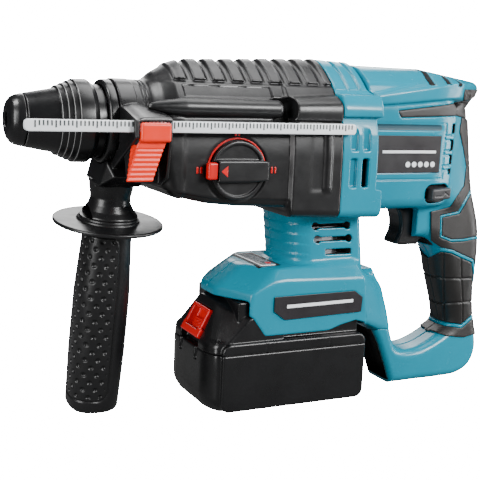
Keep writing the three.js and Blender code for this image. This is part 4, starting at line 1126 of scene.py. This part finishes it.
def build_side_handle():
    solid("clamp_block", clamp, (52, -55, -64), (92, 34, 28), FINE * 1.1, BLACK_EDGE_HIGHLIGHT, "side_handle", "handle_clamp")
    solid("gauge_button", lock_button, (54, -57, -33), (84, -37, 4), FINE, ORANGE, "depth_lock_button", "depth_lock_button")
    solid("grip_body", grip, (-36, -36, -192), (36, 36, -58), FINE * 1.2, BLACK, "handle_grip", "handle_grip", turn=GRIP_FRAME)
    strip = lambda x, y, z: meet(box(x, y, z, [0, 209], [-49.3, -44.7], [-3.3, 3.3], 0.6), box(x, 0 * x, z, [0, 209], [-9, 9], [-3.3, 3.3], 2.4))
    solid("gauge_strip", strip, (-1, -50, -4), (210, -44, 4), FINE * 1.2, WHITE, "depth_gauge", "depth_gauge")
    ticks = []
    for i in range(88):
        x = 5 + 2.3 * i
        tall = 3.9 if i % 5 == 0 else 2.9
        ticks.append((x, tall))
    points, faces = [], []
    for x, tall in ticks:
        base = len(points)
        for y in (-49.2, -49.42):
            points += [(x, y, 2.9 - tall), (x + 0.8, y, 2.9 - tall), (x + 0.8, y, 2.9), (x, y, 2.9)]
        faces += [[base + k for k in quad] for quad in
                  ((0, 1, 2, 3), (7, 6, 5, 4), (0, 4, 5, 1), (1, 5, 6, 2), (2, 6, 7, 3), (3, 7, 4, 0))]
    make("gauge_marks", points, faces, MARKS, "depth_gauge", flat=True)


def build_controls():
    solid("selector_knob", knob, (112, -49, -46), (151, -39, -6), FINE, BLACK, "mode_knob", "mode_knob")
    arrow = [(KNOB[0] + u, KNOB[1] + v) for u, v in ((-13.6, 0), (-9.4, 3.4), (-9.4, -3.4))]
    slab("selector_arrow", [arrow], -47.0, -47.75, RED, "mode_knob", bevel=0.1)
    solid("selector_button", knob_button, (108, -48, -32), (118, -41, -20), FINE, RED, "mode_lock_button", "mode_lock_button")

    def dial_field(x, y, z):
        ring, marks = dial(x, y, z)
        body = gear_case(x, y, z)
        return np.minimum(ring, np.maximum(marks, np.abs(body) - 0.35))

    solid("selector_marks", dial_field, (103, -43, -52), (159, -36, 0), FINE, RED, "housing", "mode_dial_ring")
    solid("trigger_blade", trigger, (273, -10, -86), (305, 10, -56), FINE, BLACK, "trigger", "trigger")
    solid("reversing_lever", lever, (282, -36, -50), (300, 36, -39), FINE, LEVER_GREY, "direction_lever", "direction_lever")
    solid("light_lens", lens, (159, -21, -95), (173, 21, -89), FINE, LENS, "housing", "foot_light_lens")
    spot = lambda x, y, z: rod(x - 168.6, y + 14.5, z, 2.2, -90.7, -89.9, 0.2)
    solid("light_red_spot", spot, (166, -17, -91), (171, -12, -89), FINE / 2, RED, "housing")
    for i, (x, z, head) in enumerate(((247, 24, 25), (247, -46, 26), (341, -163, 9), (232, -104, 27))):
        solid(f"screw_{i + 1}", screw(x, z, head), (x - 4, head - 9, z - 4), (x + 4, head + 4, z + 4), FINE, STEEL, "housing",
              f"housing_screw_{i + 1}")


LABEL_BAR = [(241.5, -14.4), (285, -14.4), (285, -16.2), (241.5, -16.2)]
FOOT_BAR = [(172, -113.6), (222, -112.9), (222, -115), (172, -115.8)]


def coil(node, body, end):
    """A steel copy of a CAD spring, standing on the body in place of the CAD node. end, along X, is made into a point
    that is not used.
    """
    source = frame["nodes"][node]
    spring = bpy.data.objects.new(f"{node}_coil", source.data.copy())
    spring.matrix_world = source.matrix_world
    spring.data.materials.clear()
    spring.data.materials.append(STEEL)
    adopt(spring, body, node)
    place((end, 0, 0))
    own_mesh(spring)


def build_springs():
    coil("chuck_spring", "spindle", 50.4)
    coil("trigger_spring", "housing", 316.05)


def build_labels():
    marks = [LABEL_BAR] + [circle(262.5 + 5.1 * i, -23.8, 1.9) for i in range(5)]
    for side, name in ((-1, "left"), (1, "right")):
        slab(f"body_label_{name}", [REAR_LABEL], side * 31.2, side * 32.0, LABEL, "housing", f"rear_label_{name}")
        slab(f"foot_plate_{name}", [FOOT_LABEL], side * 37.0, side * 37.75, LABEL, "housing", f"foot_label_{name}")
        slab(f"body_label_marks_{name}", marks, side * 31.9, side * 32.1, WHITE, "housing", bevel=0)
        slab(f"foot_label_mark_{name}", [FOOT_BAR], side * 37.6, side * 37.85, WHITE, "housing", bevel=0)


CAD_MATERIALS = {
    "bright_steel": STEEL, "laminated_iron": IRON, "contact_brass": BRASS, "grip_rubber": RUBBER, "black_shell": BLACK,
    "black_gloss": GLOSS, "circuit_board": BOARD, "cell_wrap": WRAP, "red_plastic": RED, "gauge_plastic": WHITE,
}
# Lighter grey painted highlight for the thin bright lines at the front edges of the chuck's rings.
RIM_HIGHLIGHT = surface("ring_edge_painted_highlight", (0.3, 0.3, 0.3), 0.35, variation=0.1, metal=0.2)


def dress_cad_nodes(shown):
    slots = {row["node"]: row["material_slot"] for row in frame["record"]["subparts"]}
    for name, obj in frame["nodes"].items():
        if name in shown:
            obj.data.materials.clear()
            obj.data.materials.append(CAD_MATERIALS[slots[name]])


def build_camera():
    az, el, roll = (math.radians(v) for v in (26.0958, 9.9281, 2.4119))
    back = Vector((-math.sin(az) * math.cos(el), -math.cos(az) * math.cos(el), math.sin(el)))
    right = Vector((math.cos(az), -math.sin(az), 0))
    up = right.cross(-back)
    across = right * math.cos(roll) + up * math.sin(roll)
    upright = up * math.cos(roll) - right * math.sin(roll)
    data = bpy.data.cameras.new("camera")
    data.lens, data.sensor_width, data.clip_end = 71.25, 36, 20
    camera = bpy.data.objects.new("camera", data)
    at = place((-118.73, -558.26, 31.80))
    camera.matrix_world = Matrix((
        (across.x, upright.x, back.x, at.x), (across.y, upright.y, back.y, at.y),
        (across.z, upright.z, back.z, at.z), (0, 0, 0, 1),
    ))
    bpy.context.scene.collection.objects.link(camera)
    bpy.context.scene.camera = camera


def area_light(name, place, target, width, height, power, color=(1, 1, 1)):
    data = bpy.data.lights.new(name, "AREA")
    data.shape, data.size, data.size_y, data.energy, data.color = "RECTANGLE", width, height, power, color
    light = bpy.data.objects.new(name, data)
    light.location = place
    light.rotation_euler = (Vector(target) - Vector(place)).to_track_quat("-Z", "Y").to_euler()
    bpy.context.scene.collection.objects.link(light)


def build_stage():
    middle = (0, 0, 0.11)
    area_light("key", (0.5, -0.95, 0.62), middle, 0.5, 0.35, 19)
    area_light("top", (0.25, 0.05, 1.1), middle, 0.9, 0.35, 7)
    area_light("top_left", (-0.55, 0.1, 1.0), middle, 0.3, 0.3, 7)
    area_light("left_strip", (-1.0, -0.4, 0.35), middle, 0.4, 0.9, 13)
    area_light("right_strip", (0.85, -0.35, 0.35), middle, 0.18, 0.9, 9)
    area_light("back", (0.35, 0.9, 0.7), middle, 0.8, 0.6, 8)
    world = bpy.data.worlds.new("studio")
    world.use_nodes = True
    tree = world.node_tree
    shader = tree.nodes["Background"]
    path = tree.nodes.new("ShaderNodeLightPath")
    tree.links.new(mix(tree, path.outputs["Is Camera Ray"], (0.05, 0.052, 0.055, 1), (40, 40, 40, 1)), shader.inputs["Color"])
    bpy.context.scene.world = world
    material, tree, shader = nodes_of("pale_floor")
    shader.inputs["Base Color"].default_value = (0.1, 0.1, 0.1, 1)
    shader.inputs["Roughness"].default_value = 0.7
    shader.inputs["Specular IOR Level"].default_value = 0
    path = tree.nodes.new("ShaderNodeLightPath")
    reach = tree.nodes.new("ShaderNodeVectorMath")
    reach.operation = "LENGTH"
    tree.links.new(tree.nodes.new("ShaderNodeTexCoord").outputs["Object"], reach.inputs[0])
    # Painted bounce light: to every ray but the camera's the floor glows, brighter near the middle and fading outwards;
    # the camera sees it evenly white.
    painted_bounce_glow = mix(tree, spread(tree, reach.outputs["Value"], 0.15, 0.6, 0, 1), (0.1, 0.1, 0.1, 1), (0.02, 0.02, 0.02, 1))
    tree.links.new(mix(tree, path.outputs["Is Camera Ray"], painted_bounce_glow, (40, 40, 40, 1)), shader.inputs["Emission Color"])
    shader.inputs["Emission Strength"].default_value = 1
    mesh = bpy.data.meshes.new("floor")
    low = place((0, 0, FLOOR)).z
    mesh.from_pydata([(-9, -9, low), (9, -9, low), (9, 9, low), (-9, 9, low)], [], [(0, 1, 2, 3)])
    mesh.materials.append(material)
    floor = bpy.data.objects.new("floor", mesh)
    bpy.context.scene.collection.objects.link(floor)


build_housings()
build_chuck()
build_battery()
build_side_handle()
build_controls()
build_labels()
build_springs()
replaced = {"chuck_spring", "trigger_spring", "gear_housing", "mode_knob", "mode_lock_button", "mode_dial_ring", "chuck_dust_cap", "chuck_sleeve", "chuck_stop_ring",
            "battery_lower_shell", "battery_upper_shell", "battery_latch", "handle_clamp", "handle_grip", "depth_gauge",
            "depth_lock_button", "trigger", "direction_lever", "foot_light_lens"}
replaced |= {f"housing_screw_{i}" for i in range(1, 5)}
replaced |= {f"{piece}_{side}" for piece in ("motor_housing", "rear_housing", "grip_pad", "rear_label", "foot_label") for side in ("left", "right")}
dress_cad_nodes(set(frame["nodes"]) - replaced)
build_camera()
build_stage()
